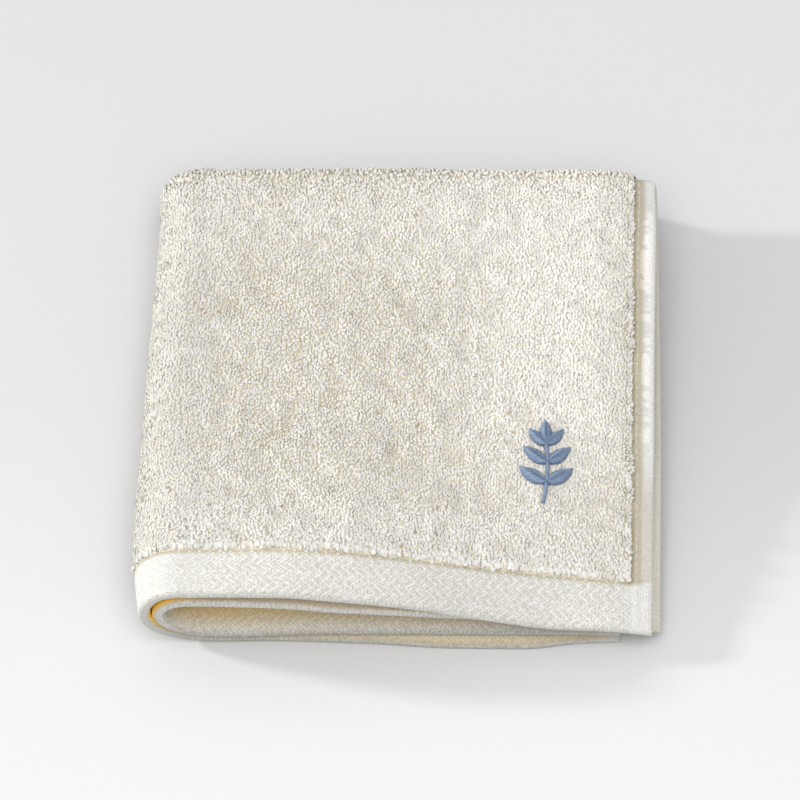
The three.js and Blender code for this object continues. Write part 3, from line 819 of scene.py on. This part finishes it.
def herringbone(border):
    """Pattern of slanted yarns that turn back at each row, two to each raised wale."""
    def pattern(tree, place, parts, to_near):
        near = add(tree, "ShaderNodeMath", (to_near, WALES_START * MM), operation="SUBTRACT")
        zigzag = add(tree, "ShaderNodeMath", (near, border.stripe), operation="PINGPONG")
        phase = add(tree, "ShaderNodeMath", (zigzag, 1 / math.tan(border.slant), parts[0]),
                    operation="MULTIPLY_ADD")
        drift = add(tree, "ShaderNodeTexNoise", {"Vector": place, "Scale": 1 / (2.6 * MM)})
        phase = add(tree, "ShaderNodeMath", (drift, 0.7 * MM, phase), operation="MULTIPLY_ADD")
        return add(tree, "ShaderNodeMapRange",
                   (wave(tree, phase, border.pitch / 2, "COSINE"), -0.9, 0.3))
    return pattern


def plain(tree, place, parts, to_near):
    """No pattern: one even tone between the loops."""
    return add(tree, "ShaderNodeValue")


def ribbed(rib, cross):
    """Pattern of ribs along the edge, crossed by finer picks, with their pitches in mm."""
    def pattern(tree, place, parts, to_near):
        ribs, picks = (wave(tree, parts[k], pitch * MM) for k, pitch in enumerate((rib, cross)))
        both = add(tree, "ShaderNodeMath", (picks, 0.45, ribs), operation="MULTIPLY_ADD")
        return add(tree, "ShaderNodeMapRange", (both, -1.3, 0.8))
    return pattern


def thread_material(name, light, dark, roughness, gloss):
    """Sewing or embroidery thread: long cotton fibres spun tight and mercerised, in a bath that
    swells them smooth, with a low gloss. Its crests get the light colour and its flanks the dark
    one, as painted light and shade, mottled at random; between the layers it is painted tan as
    shade."""
    material, tree, fibre, mottle, tint, reach, inside = cotton(
        name, 0.25, 0.9, "tint", "reach", "inside")
    mixed = add(tree, "ShaderNodeMath", (fibre, 0.7, tint), operation="MULTIPLY_ADD")
    share = product(tree, *(add(tree, "ShaderNodeMapRange", limits)
                            for limits in ((mixed, 0.1, 1.0, 0.4), (reach, 0.22, 0.42),
                                           (mottle, 0.37, 0.62, 0.2))))
    # Painted light and shade: light on the crests, dark on the flanks, tan between the layers
    body = laid_over(tree, dark, (share, light), (inside, INSIDE_SHADE_TAN))
    bump = add(tree, "ShaderNodeBump", {"Height": fibre, "Strength": 0.5, "Distance": 0.1 * MM})
    return close_material(material, {"Base Color": body, "Normal": bump,
                                     "Roughness": roughness, "Specular IOR Level": gloss})


# Pieces

class WASHCLOTH_OT_ground(bpy.types.Operator):
    """Make the woven cloth itself: ground weave, borders and hems as one closed sheet"""
    bl_idname = "washcloth.ground"
    bl_label = "Ground weave"

    def execute(self, context):
        scene = context.scene
        cloth, border = scene.washcloth_cloth, scene.washcloth_border
        grid = fold_grid(cloth)
        s, v = np.meshgrid(grid.columns, grid.rows)
        sheets = []
        for room, side in ((grid.room_out, 1), (grid.room_back, -1)):
            half = half_thickness(grid, cloth, s, v, room, side)
            sheets.append((grid.points + grid.outward * (half * side)[..., None]).reshape(-1, 3))
        points = np.concatenate(sheets)
        points[:, 2] = np.maximum(points[:, 2], FLOOR_GAP)
        to_side, to_near = edge_distance(grid, s, v)
        inner, turn, on_pile = v > grid.last / 2, left_turn(s, v), ramp(to_near, BORDER, BORDER + 1)
        # Painted shade on the lips of the near edges, on the inner hem, and on the hem near its
        # border.
        # On the left turn the weave is painted a little dimmer as shade, with its grooves painted
        # paler, and between flat loops the ground is painted paler, as painted light.
        lip, low = ramp(to_near, 1.52, 0.72), ramp(s, 0, 20)
        edge = 0.35 * inner * (to_side < 3) * (s < 0)
        hem = 0.3 * (to_side < HEM) * (v > BORDER) * ramp(v, 58, 44)
        marks = {
            "dim": lip * (0.045 + 0.16 * low + 0.04 * inner) + 0.1 * turn,
            "foot": np.maximum(np.maximum(edge, hem), 0.16 * lip * low),
            "pale": np.maximum((0.7 + 0.3 * on_pile) * turn, 0.85 * brushed(s, v) * on_pile),
            "rim": ramp(to_near, 1.05, 0.35),
            "to_side": to_side * MM,
            "to_near": to_near * MM,
        }
        marks = {mark: np.tile(values.ravel(), 2) for mark, values in marks.items()}
        marks["inside"] = np.concatenate([between_layers(grid, s, v, side).ravel()
                                          for side in (1, -1)])
        faces = closed_faces(*s.shape)
        piece = mesh_object("cloth_ground", points, faces.tolist(), **marks)
        mesh = piece.data
        flat = np.tile(np.stack([s.ravel(), v.ravel()], axis=1), (2, 1)) * MM
        corners = np.zeros(len(mesh.loops), np.int32)
        mesh.loops.foreach_get("vertex_index", corners)
        mesh.uv_layers.new(name="flat_cloth").uv.foreach_set(
            "vector", flat[corners].astype(np.float32).ravel())
        kind = np.where(to_side < HEM, 2, np.where(to_near < BORDER, 1, 0)).ravel()
        kind = np.tile(kind, 2)[faces].min(axis=1)
        mesh.polygons.foreach_set("material_index", kind.astype(np.int32))
        mesh.polygons.foreach_set("use_smooth", np.ones(len(faces), bool))
        # In the order of the material numbers: ground, border, hem
        # Strips of painted pile shadow: under the pile's edge on the border, and beside the pile on
        # the hem
        for name, pattern, groove, yarns, strips in (
                ("terry_ground_weave", plain, cloth.ground_colour, cloth.ground_lit, []),
                ("herringbone_border_weave", herringbone(border), cloth.groove_colour,
                 cloth.border_colour, [("to_near", BORDER - 2.3, BORDER - 1.0, 0.8)]),
                ("turned_hem_weave", ribbed(0.9, 0.55), cloth.hem_groove, cloth.border_colour,
                 [("to_side", HEM - 5.0, HEM - 3.4, 0.72),
                  ("to_side", HEM - 2.4, HEM - 1.4, 0.95)])):
            mesh.materials.append(weave_material(name, cloth, pattern, groove, yarns, strips))
        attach(piece, "root")
        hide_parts("washcloth")
        return {"FINISHED"}


def root_lattice(s_range, v_range, across, along, seed):
    """Jittered places in lines along the cloth, as s and v in millimetres."""
    rng = np.random.default_rng(seed)
    lines = np.arange(s_range[0] + across / 2, s_range[1], across)
    places = np.arange(v_range[0] + along / 2, v_range[1], along)
    s, v = np.meshgrid(lines, places)
    v = v + along * (np.arange(len(lines)) % 2)[None] / 2
    s = s + rng.uniform(-0.33, 0.33, s.shape) * across
    v = v + rng.uniform(-0.4, 0.4, v.shape) * along
    s, v = s.ravel(), v.ravel()
    inside = (s > s_range[0]) & (s < s_range[1]) & (v > v_range[0]) & (v < v_range[1])
    return s[inside], v[inside]


def loop_roots(name, grid, surface, s, v, side, seed):
    """A mesh of loop roots on one face of the cloth, with the loops' directions and heights.
    surface is that face's half thickness on the grid."""
    spot = on_cloth(grid, s, v, side)
    half = sampled(grid, surface, s, v)
    to_side, to_near = edge_distance(grid, s, v)
    flat, hills = brushed(s, v), swell(s, v)
    # Loops by a border or hem lean out over it, and all lean down the slopes of the clumps
    lean_side = ramp(to_side, HEM + 2.6, HEM + 0.2) * np.sign(s)
    lean_near = ramp(to_near, BORDER + 2.6, BORDER + 0.2) * np.where(v < grid.last / 2, -1, 1)
    slope_s, slope_v = (0.5 * smooth_noise(s, v, 2.4, noise) + slope
                        for noise, slope in zip((32, 34), clump_slopes(s, v)))
    # On the left turn and the far fold the shading leans up to the sky
    turn = left_fold(s) * ramp(s, 16, 4) * (v < FOLD_START)
    back = ramp(v, 148, 158) * ramp(v, FOLD_START + 6, FOLD_START + 3) * (s < 10)
    turn = np.maximum(turn, back) * (side > 0)
    leaning, face = (
        unit(spot.outward + spot.across * (by_side * lean_side + 0.4 * slope_s)[:, None]
             + spot.along * (by_near * lean_near + 0.4 * slope_v)[:, None]
             + np.array([0, 0, up]) * turn[:, None])
        for by_side, by_near, up in ((0.7, 0.45, 0), (0.1, 0.3, 1.3)))
    tall = np.clip(spot.room + hills - half, 0.4, 1.2) * 0.6 + 0.2
    tall += 0.7 * np.exp(-((v - FOLD_START - 3) / 7) ** 2) * (side > 0)
    tall *= (1 - 0.28 * flat) * (1 - 0.3 * ramp(to_near, BORDER + 1.6, BORDER))
    # Beside the side hem some loops are pulled out long, like teeth
    teeth = np.clip(2.2 * smooth_noise(s / 3, v, 1.9, 51) + 0.1, 0, 1)
    tall += 1.3 * teeth * np.exp(-((to_side - HEM - 1.1) / 0.8) ** 2) * (s < 0)
    # Now and then, mostly between clumps, a short loop: a small hole in the pile. The holes and
    # the creases between clumps are painted darker as shade.
    crease = ramp(hills, -0.08, -0.48)
    hole = np.random.default_rng(seed).random(len(s)) < 0.003 + 0.03 * crease
    tall *= 1 - 0.35 * hole
    if name.startswith("pile_top"):
        tall[under_sprig(spot.middle)] *= 0.62
    stout = 1 + 0.3 * ramp(to_near, BORDER + 22, BORDER + 2) * ramp(s, 40, -20)
    stout += 0.2 * flat * ramp(to_side, 1.2 * HEM, 2.2 * HEM)
    # Painted light and shade: the top's right, near and far parts painted brighter, the left fold,
    # where the low main light falls full on it, painted darker
    right, far, near = flat_areas(s, v)
    bright = (0.01 + 0.11 * right + 0.045 * near * ramp(s, -50, -90) + 0.03 * far
              - 0.1 * left_fold(s))
    return mesh_object(name + "_roots", spot.middle + spot.outward * (half - ROOT_DEPTH)[:, None],
                       outward=leaning, face=face, along=spot.along, tall=tall, stout=stout,
                       deep=np.maximum(0.9 * hole, 0.25 * crease), brushed=flat, bright=bright)


def under_sprig(points):
    """True where a place on the top layer lies under the sewn sprig."""
    x, y = points[:, 0] - SPRIG.x, points[:, 1] - SPRIG.y
    covered = (np.abs(x - stem_bow(y)) < 0.9) & (np.abs(y) < SPRIG.length / 2)
    for up, lean, reach, width in LEAVES:
        tilt = math.radians(lean)
        dx, dy = x - stem_bow(up), y - up
        forward = dx * math.sin(tilt) + dy * math.cos(tilt)
        aside = np.abs(dx * math.cos(tilt) - dy * math.sin(tilt))
        t = np.clip(forward / reach, 0, 1)
        covered |= (forward > 0) & (forward < reach) & (aside < 2.1 * t * (1 - t) * width + 0.2)
    return covered


def pile_zones(grid):
    """Each pile piece: its name, face, range across, range along, coarseness, sides of the
    yarn and steps along a loop."""
    inner, last, near, far = grid.side - HEM, grid.last, BORDER + 0.1, FOLD_START
    whole, top, both = (-inner, inner), (near, far), (near, last - near)
    right, right_low = (-inner, -inner + 8), (inner - 8, inner)
    beyond_fold = (last - far, last - near)
    cuts = np.linspace(-inner, -9, 4)
    return (
        ("pile_top_right", 1, cuts[0:2], top, 1.0, 3, 4),
        ("pile_top_middle", 1, cuts[1:3], top, 1.0, 3, 4),
        ("pile_top_left", 1, cuts[2:4], top, 1.0, 3, 4),
        ("pile_border_edge", 1, (-inner, 40), (near, near + 1.5), 1.45, 5, 5),
        ("pile_hem_edge", 1, (-inner, -inner + 1.5), top, 1.0, 5, 5),
        ("pile_left_fold", 1, (-9, 14), top, 1.0, 3, 4),
        ("pile_left_fold_low", 1, (14, 33), top, 1.2, 3, 4),
        ("pile_underside", 1, (33, inner), top, 2.3, 3, 4),
        ("pile_far_folds", 1, whole, (far, last - far), 1.1, 3, 4),
        ("pile_inside_mouth", 1, whole, (last - 36, last - near), 1.6, 3, 4),
        ("pile_right_edges_out", 1, right, beyond_fold, 1.5, 3, 4),
        ("pile_right_edges_out_low", 1, right_low, beyond_fold, 1.5, 3, 4),
        ("pile_right_edges_back", -1, right, both, 1.5, 3, 4),
        ("pile_right_edges_back_low", -1, right_low, both, 1.5, 3, 4),
        ("pile_between_near", -1, whole, (near, near + 4.5), 1.5, 3, 5),
        ("pile_between_near_inner", -1, whole, (last - near - 4.5, last - near), 1.5, 3, 5),
    )


class WASHCLOTH_OT_pile(bpy.types.Operator):
    """Grow the looped pile on every face that can be seen"""
    bl_idname = "washcloth.pile"
    bl_label = "Looped pile"

    def execute(self, context):
        scene = context.scene
        cloth, pile = scene.washcloth_cloth, scene.washcloth_pile
        grid = fold_grid(cloth)
        tree = pile_tree(loop_material(pile))
        across, along = pile.across / MM, pile.along / MM
        grid_s, grid_v = np.meshgrid(grid.columns, grid.rows)
        surfaces = {face: half_thickness(grid, cloth, grid_s, grid_v, room, face)
                    for face, room in ((1, grid.room_out), (-1, grid.room_back))}
        for k, (name, side, s_range, v_range, coarse, sides, steps) in enumerate(pile_zones(grid)):
            seed = pile.seed + 10 * k
            s, v = root_lattice(s_range, v_range, across * coarse, along * coarse, seed)
            source = loop_roots(name, grid, surfaces[side], s, v, side, seed)
            thick = coarse ** 0.6
            piece = grown(name, source, tree,
                          {"Yarn": pile.yarn * thick,
                           "Span": pile.span * (0.7 if name.endswith("edge") else thick),
                           "Yarn sides": sides, "Steps": steps, "Seed": seed})
            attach(piece, "root")
        return {"FINISHED"}


def wale_places(grid, border, s_range, inner_face):
    """Middles and directions of the herringbone wales on one border, where three floats end to
    end make a wale. They are drawn coarser than real yarns, so that they show."""
    pitch, stripe = border.pitch / MM, border.stripe / MM
    wale = stripe / math.sin(border.slant)
    steps = np.arange(math.ceil(s_range[0] / pitch), math.floor(s_range[1] / pitch) + 1) * pitch
    places = []
    for row in range(WALE_ROWS):
        way = -1.0 if row % 2 == 0 else 1.0
        for share in (-1 / 3, 0, 1 / 3):
            s = steps - stripe / 2 / math.tan(border.slant)
            s = s + way * math.cos(border.slant) * share * wale
            v = WALES_START + (row + 0.5) * stripe + math.sin(border.slant) * share * wale
            places.append((s, np.full(len(s), v), np.full(len(s), way)))
    s, v, turn = (np.concatenate(k) for k in zip(*places))
    rng = np.random.default_rng(17)
    s = s + rng.uniform(-0.12, 0.12, len(s)) + 0.25 * smooth_noise(s, v, 6.0, 61)
    v = v + rng.uniform(-0.1, 0.1, len(v)) + 0.2 * smooth_noise(s, v, 7.0, 62)
    inside = (s > s_range[0]) & (s < s_range[1])
    s, v, turn = s[inside], v[inside], turn[inside]
    return s, (grid.last - v if inner_face else v), (-turn if inner_face else turn)


class WASHCLOTH_OT_borders(bpy.types.Operator):
    """Raise the herringbone wales of the woven borders"""
    bl_idname = "washcloth.borders"
    bl_label = "Herringbone borders"

    def execute(self, context):
        scene = context.scene
        cloth, border = scene.washcloth_cloth, scene.washcloth_border
        grid = fold_grid(cloth)
        material = thread_material("herringbone_wale_yarn", cloth.border_colour,
                                   border.wale_shade, 0.85, 0.25)
        tree = thread_tree("Herringbone wales", material, 5, 3)
        edge = grid.side - HEM - 1.2
        # The outer border's wales stop on the underside, where they no longer show
        for name, s_range, inner_face in (("border_wales_outer", (-edge, 48), False),
                                          ("border_wales_inner", (-edge, edge), True)):
            s, v, turn = wale_places(grid, border, s_range, inner_face)
            spot = on_cloth(grid, s, v)
            height = half_thickness(grid, cloth, s, v, spot.room) - 0.02 - 0.1 * left_turn(s, v)
            slant = (spot.across * (turn * math.cos(border.slant))[:, None]
                     + spot.along * math.sin(border.slant))
            long = np.full(len(s), 0.4 * border.stripe / math.sin(border.slant))
            source = mesh_object(name + "_places", spot.middle + spot.outward * height[:, None],
                                 outward=spot.outward, along=slant, long=long,
                                 inside=between_layers(grid, s, v, 1))
            piece = grown(name, source, tree,
                          {"Width": border.wale_width, "Height": border.wale_height, "Seed": 21,
                           "Fullness": 2.8})
            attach(piece, "root")
        return {"FINISHED"}


class WASHCLOTH_OT_hems(bpy.types.Operator):
    """Sew the side hems with a line of lockstitch on both faces"""
    bl_idname = "washcloth.hems"
    bl_label = "Hem stitches"

    def execute(self, context):
        scene = context.scene
        cloth, stitch = scene.washcloth_cloth, scene.washcloth_stitch
        grid = fold_grid(cloth)
        material = thread_material("cotton_lockstitch", stitch.white, stitch.white_shade, 0.7, 0.3)
        tree = thread_tree("Lockstitch", material, 6, 4)
        v = np.arange(FIRST_STITCH, grid.last - FIRST_STITCH, stitch.pitch / MM)
        lines = []
        for end in (-1, 1):
            for side in (1, -1):
                s = np.full(len(v), end * (grid.side - STITCH_LINE))
                spot = on_cloth(grid, s, v, side)
                half = half_thickness(grid, cloth, s, v, sampled(grid, grid.room_out, s, v))
                lines.append((spot.middle + spot.outward * (half + 0.02)[:, None],
                              spot.outward, spot.along))
        points, outward, along = (np.concatenate(k) for k in zip(*lines))
        source = mesh_object("hem_stitch_places", points, outward=outward, along=along,
                             long=np.full(len(points), stitch.pitch * 0.86))
        piece = grown("hem_stitches", source, tree,
                      {"Width": stitch.thread, "Height": stitch.thread, "Seed": 31})
        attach(piece, "root")
        return {"FINISHED"}


def stem_bow(up):
    """How far the sprig's stem bows aside, at a way up from its middle."""
    return SPRIG.bend * (1 - (2 * np.asarray(up, float) / SPRIG.length) ** 2)


def pile_top(x, y, cloth):
    """Height of the top layer's pile at a place, as the cloth has settled there."""
    z = height_at("outer_top", x, y)
    flat = np.stack([x, y, z], axis=-1)
    return settled(flat, cloth.settle)[..., 2] + LOFT / 2


class WASHCLOTH_OT_sprig(bpy.types.Operator):
    """Embroider the leaf sprig in satin stitch"""
    bl_idname = "washcloth.sprig"
    bl_label = "Leaf sprig"

    def execute(self, context):
        scene = context.scene
        cloth, stitch = scene.washcloth_cloth, scene.washcloth_stitch
        material = thread_material("blue_satin_thread", stitch.blue, stitch.shaded_blue, 0.5, 0.45)
        points, faces = [], []
        strands = []
        crown = SPRIG.over + SPRIG.thick

        def dome(x, y, share):
            """Height on the padded stitch: full on the middle line, sunk at the edges."""
            return pile_top(x, y, cloth) + crown - 1.5 * np.abs(share) ** 3

        def pad(places, share):
            """A closed padded body under the threads, from rows of places across it."""
            rows, columns = share.shape
            top = np.dstack([places, dome(places[..., 0], places[..., 1], share) - 0.12])
            low = top.copy()
            low[..., 2] = dome(places[..., 0], places[..., 1], np.ones_like(share)) - 0.5
            first = sum(len(p) for p in points)
            points.append(np.concatenate([top.reshape(-1, 3), low.reshape(-1, 3)]))
            faces.append(closed_faces(rows, columns)[:, [0, 3, 2, 1]] + first)

        def strand(start, end, share_start, share_end):
            """Threads from start to end places, with how far out on the pad each end is."""
            middle = (start + end) / 2
            share = (share_start + share_end) / 2
            z0 = dome(start[:, 0], start[:, 1], share_start)
            z1 = dome(end[:, 0], end[:, 1], share_end)
            z = np.maximum(dome(middle[:, 0], middle[:, 1], share), (z0 + z1) / 2)
            direction = np.column_stack([end - start, z1 - z0])
            across = np.column_stack([-direction[:, 1], direction[:, 0], np.zeros(len(z))])
            strands.append((np.column_stack([middle, z - 0.1]),
                            unit(np.cross(direction, across)), unit(direction),
                            np.linalg.norm(direction, axis=1) * 1.08 * MM))

        gap = stitch.satin / MM
        for up, lean, reach, width in LEAVES:
            tilt = math.radians(lean)
            base = np.array([SPRIG.x + float(stem_bow(up)), SPRIG.y + up])
            forward = np.array([math.sin(tilt), math.cos(tilt)])

            def on_leaf(t, share):
                """Places at a share of the leaf's length and of its half width."""
                ahead = 2 * t * (1 - t) * 0.45 * reach + t * t * reach
                beside = share * (2 * t * (1 - t) * width)
                return (base + ahead[..., None] * forward
                        + beside[..., None] * np.array([forward[1], -forward[0]]))

            t = np.linspace(0.02, 0.98, 14)[:, None]
            share = np.linspace(-1, 1, 9)[None] * np.ones_like(t)
            pad(on_leaf(t, share), share)
            # Threads go from the midrib forward to the edge, on both sides
            rib = np.linspace(0.0, 0.86, int(reach / gap * 0.9))
            edge = np.clip(rib + 0.14 + 0.1 * (1 - rib), 0, 0.985)
            for side in (-1, 1):
                strand(on_leaf(rib, 0), on_leaf(edge, side), np.zeros(len(rib)),
                       np.full(len(rib), 0.97))
        up = np.linspace(-SPRIG.length / 2, LEAVES[-1][0] + 1, 40)[:, None]
        share = np.linspace(-1, 1, 5)[None] * np.ones_like(up)
        places = np.dstack([SPRIG.x + stem_bow(up) + share * SPRIG.stem / 2,
                            SPRIG.y + up * np.ones_like(share)])
        pad(places, share)
        up = np.arange(-SPRIG.length / 2 + 0.3, LEAVES[-1][0] + 1.2, gap)
        centre = np.column_stack([SPRIG.x + stem_bow(up), SPRIG.y + up])
        reach = np.array([SPRIG.stem / 2, 0.42])
        strand(centre - reach, centre + reach, np.full(len(up), -0.9), np.full(len(up), 0.9))

        backing = mesh_object("leaf_sprig_padding", np.concatenate(points),
                              np.concatenate(faces).tolist())
        backing.data.materials.append(material)
        backing.data.polygons.foreach_set("use_smooth", np.ones(len(backing.data.polygons), bool))
        middles, outward, along, long = (np.concatenate(k) for k in zip(*strands))
        source = mesh_object("leaf_sprig_places", middles, outward=outward, along=along, long=long)
        tree = thread_tree("Satin stitch", material, 5, 5)
        threads = grown("leaf_sprig_threads", source, tree,
                        {"Width": stitch.satin * 1.15, "Height": stitch.satin * 1.1, "Seed": 41})
        for piece in (backing, threads):
            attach(piece, "root")
        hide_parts("leaf_sprig")
        return {"FINISHED"}


class WASHCLOTH_OT_stage(bpy.types.Operator):
    """Set the pale floor, the studio lights and the camera"""
    bl_idname = "washcloth.stage"
    bl_label = "Stage"

    def execute(self, context):
        scene = context.scene
        stage = scene.washcloth_stage
        # White board under rolled matt paint: a fine even tooth, with no gloss to the eye
        material, tree, place = open_material("matt_painted_board")
        grain = add(tree, "ShaderNodeTexNoise", {"Vector": place, "Scale": 400.0, "Detail": 2.0})
        bump = add(tree, "ShaderNodeBump",
                   {"Height": grain, "Strength": 0.1, "Distance": 0.05 * MM})
        # Painted shade: the board is coloured darker towards the back, where the front light falls
        # off
        away = add(tree, "ShaderNodeSeparateXYZ", (place,)).outputs[1]
        away = add(tree, "ShaderNodeMapRange", (away, -0.14, 0.03),
                   interpolation_type="SMOOTHSTEP")
        tone = laid_over(tree, stage.floor, (away, stage.far_floor))
        close_material(material, {"Base Color": tone, "Normal": bump, "Roughness": 0.9})
        # A board that sweeps up behind the object
        sweep = [(-3.0, 0.0)] + [(2.0 + 1.2 * math.sin(a), 1.2 - 1.2 * math.cos(a))
                                 for a in np.linspace(0, math.pi / 2, 12)] + [(3.2, 3.0)]
        points = [(x, y, z) for y, z in sweep for x in (-3.5, 3.5)]
        mesh = bpy.data.meshes.new("studio_floor")
        mesh.from_pydata(points, [], [(2 * i, 2 * i + 1, 2 * i + 3, 2 * i + 2)
                                      for i in range(len(sweep) - 1)])
        mesh.materials.append(material)
        floor = bpy.data.objects.new("studio_floor", mesh)
        scene.collection.objects.link(floor)

        world = bpy.data.worlds.new("Studio surround")
        world.use_nodes = True
        surround = world.node_tree.nodes["Background"]
        surround.inputs[0].default_value = linear("#FBFCFF")
        surround.inputs[1].default_value = stage.fill
        scene.world = world

        target = Vector((SHIFT[0] * MM, (LOOK_DEPTH + SHIFT[1]) * MM, 0))
        # name, azimuth from +X in degrees, elevation, distance, width, power, colour
        lamps = (("Main light", 169, 18, 4.0, 0.35, stage.main_light, "#FFFEFC"),
                 ("Front light", 270, 68, 0.9, 0.7, stage.front_light, "#FFFFFF"))
        for name, turn, rise, away, width, power, tone in lamps:
            light = bpy.data.lights.new(name, "AREA")
            light.energy = power
            light.size = width
            light.color = linear(tone)[:3]
            lamp = bpy.data.objects.new(name, light)
            a, e = math.radians(turn), math.radians(rise)
            back = Vector((math.cos(a) * math.cos(e), math.sin(a) * math.cos(e), math.sin(e)))
            lamp.location = target + back * away
            lamp.rotation_euler = back.to_track_quat("Z", "Y").to_euler()
            scene.collection.objects.link(lamp)

        lens = bpy.data.cameras.new("Camera")
        # A long lens from afar, because the photograph's view is nearly parallel
        lens.lens, lens.sensor_width = 277.65, 36.0
        camera = bpy.data.objects.new("Camera", lens)
        back = Vector((0, -math.cos(stage.elevation), math.sin(stage.elevation)))
        camera.location = target + back * stage.distance
        camera.rotation_euler = back.to_track_quat("Z", "Y").to_euler()
        lens.clip_start, lens.clip_end = 0.05, 50
        scene.collection.objects.link(camera)
        scene.camera = camera
        scene.view_settings.view_transform = "Standard"
        return {"FINISHED"}


class WASHCLOTH_PT_panel(bpy.types.Panel):
    """Sizes and colours of the washcloth, and the steps that build it"""
    bl_label = "Folded washcloth"
    bl_idname = "WASHCLOTH_PT_panel"
    bl_space_type = "VIEW_3D"
    bl_region_type = "UI"
    bl_category = "Washcloth"

    def draw(self, context):
        for name, (group, steps) in GROUPS.items():
            box = self.layout.box()
            settings = getattr(context.scene, name)
            for key in group.__annotations__:
                box.prop(settings, key)
            for step in steps:
                box.operator(step.bl_idname)


GROUPS = {
    "washcloth_cloth": (ClothSettings, [WASHCLOTH_OT_ground]),
    "washcloth_pile": (PileSettings, [WASHCLOTH_OT_pile]),
    "washcloth_border": (BorderSettings, [WASHCLOTH_OT_borders]),
    "washcloth_stitch": (StitchSettings, [WASHCLOTH_OT_hems, WASHCLOTH_OT_sprig]),
    "washcloth_stage": (StageSettings, [WASHCLOTH_OT_stage]),
}


def register():
    for name, (group, steps) in GROUPS.items():
        bpy.utils.register_class(group)
        for step in steps:
            bpy.utils.register_class(step)
        setattr(bpy.types.Scene, name, PointerProperty(type=group))
    bpy.utils.register_class(WASHCLOTH_PT_panel)


def unregister():
    bpy.utils.unregister_class(WASHCLOTH_PT_panel)
    for name, (group, steps) in reversed(GROUPS.items()):
        delattr(bpy.types.Scene, name)
        for step in steps:
            bpy.utils.unregister_class(step)
        bpy.utils.unregister_class(group)


def main():
    register()
    bpy.ops.washcloth.ground()
    bpy.ops.washcloth.pile()
    bpy.ops.washcloth.borders()
    bpy.ops.washcloth.hems()
    bpy.ops.washcloth.sprig()
    bpy.ops.washcloth.stage()


if __name__ == "__main__":
    main()
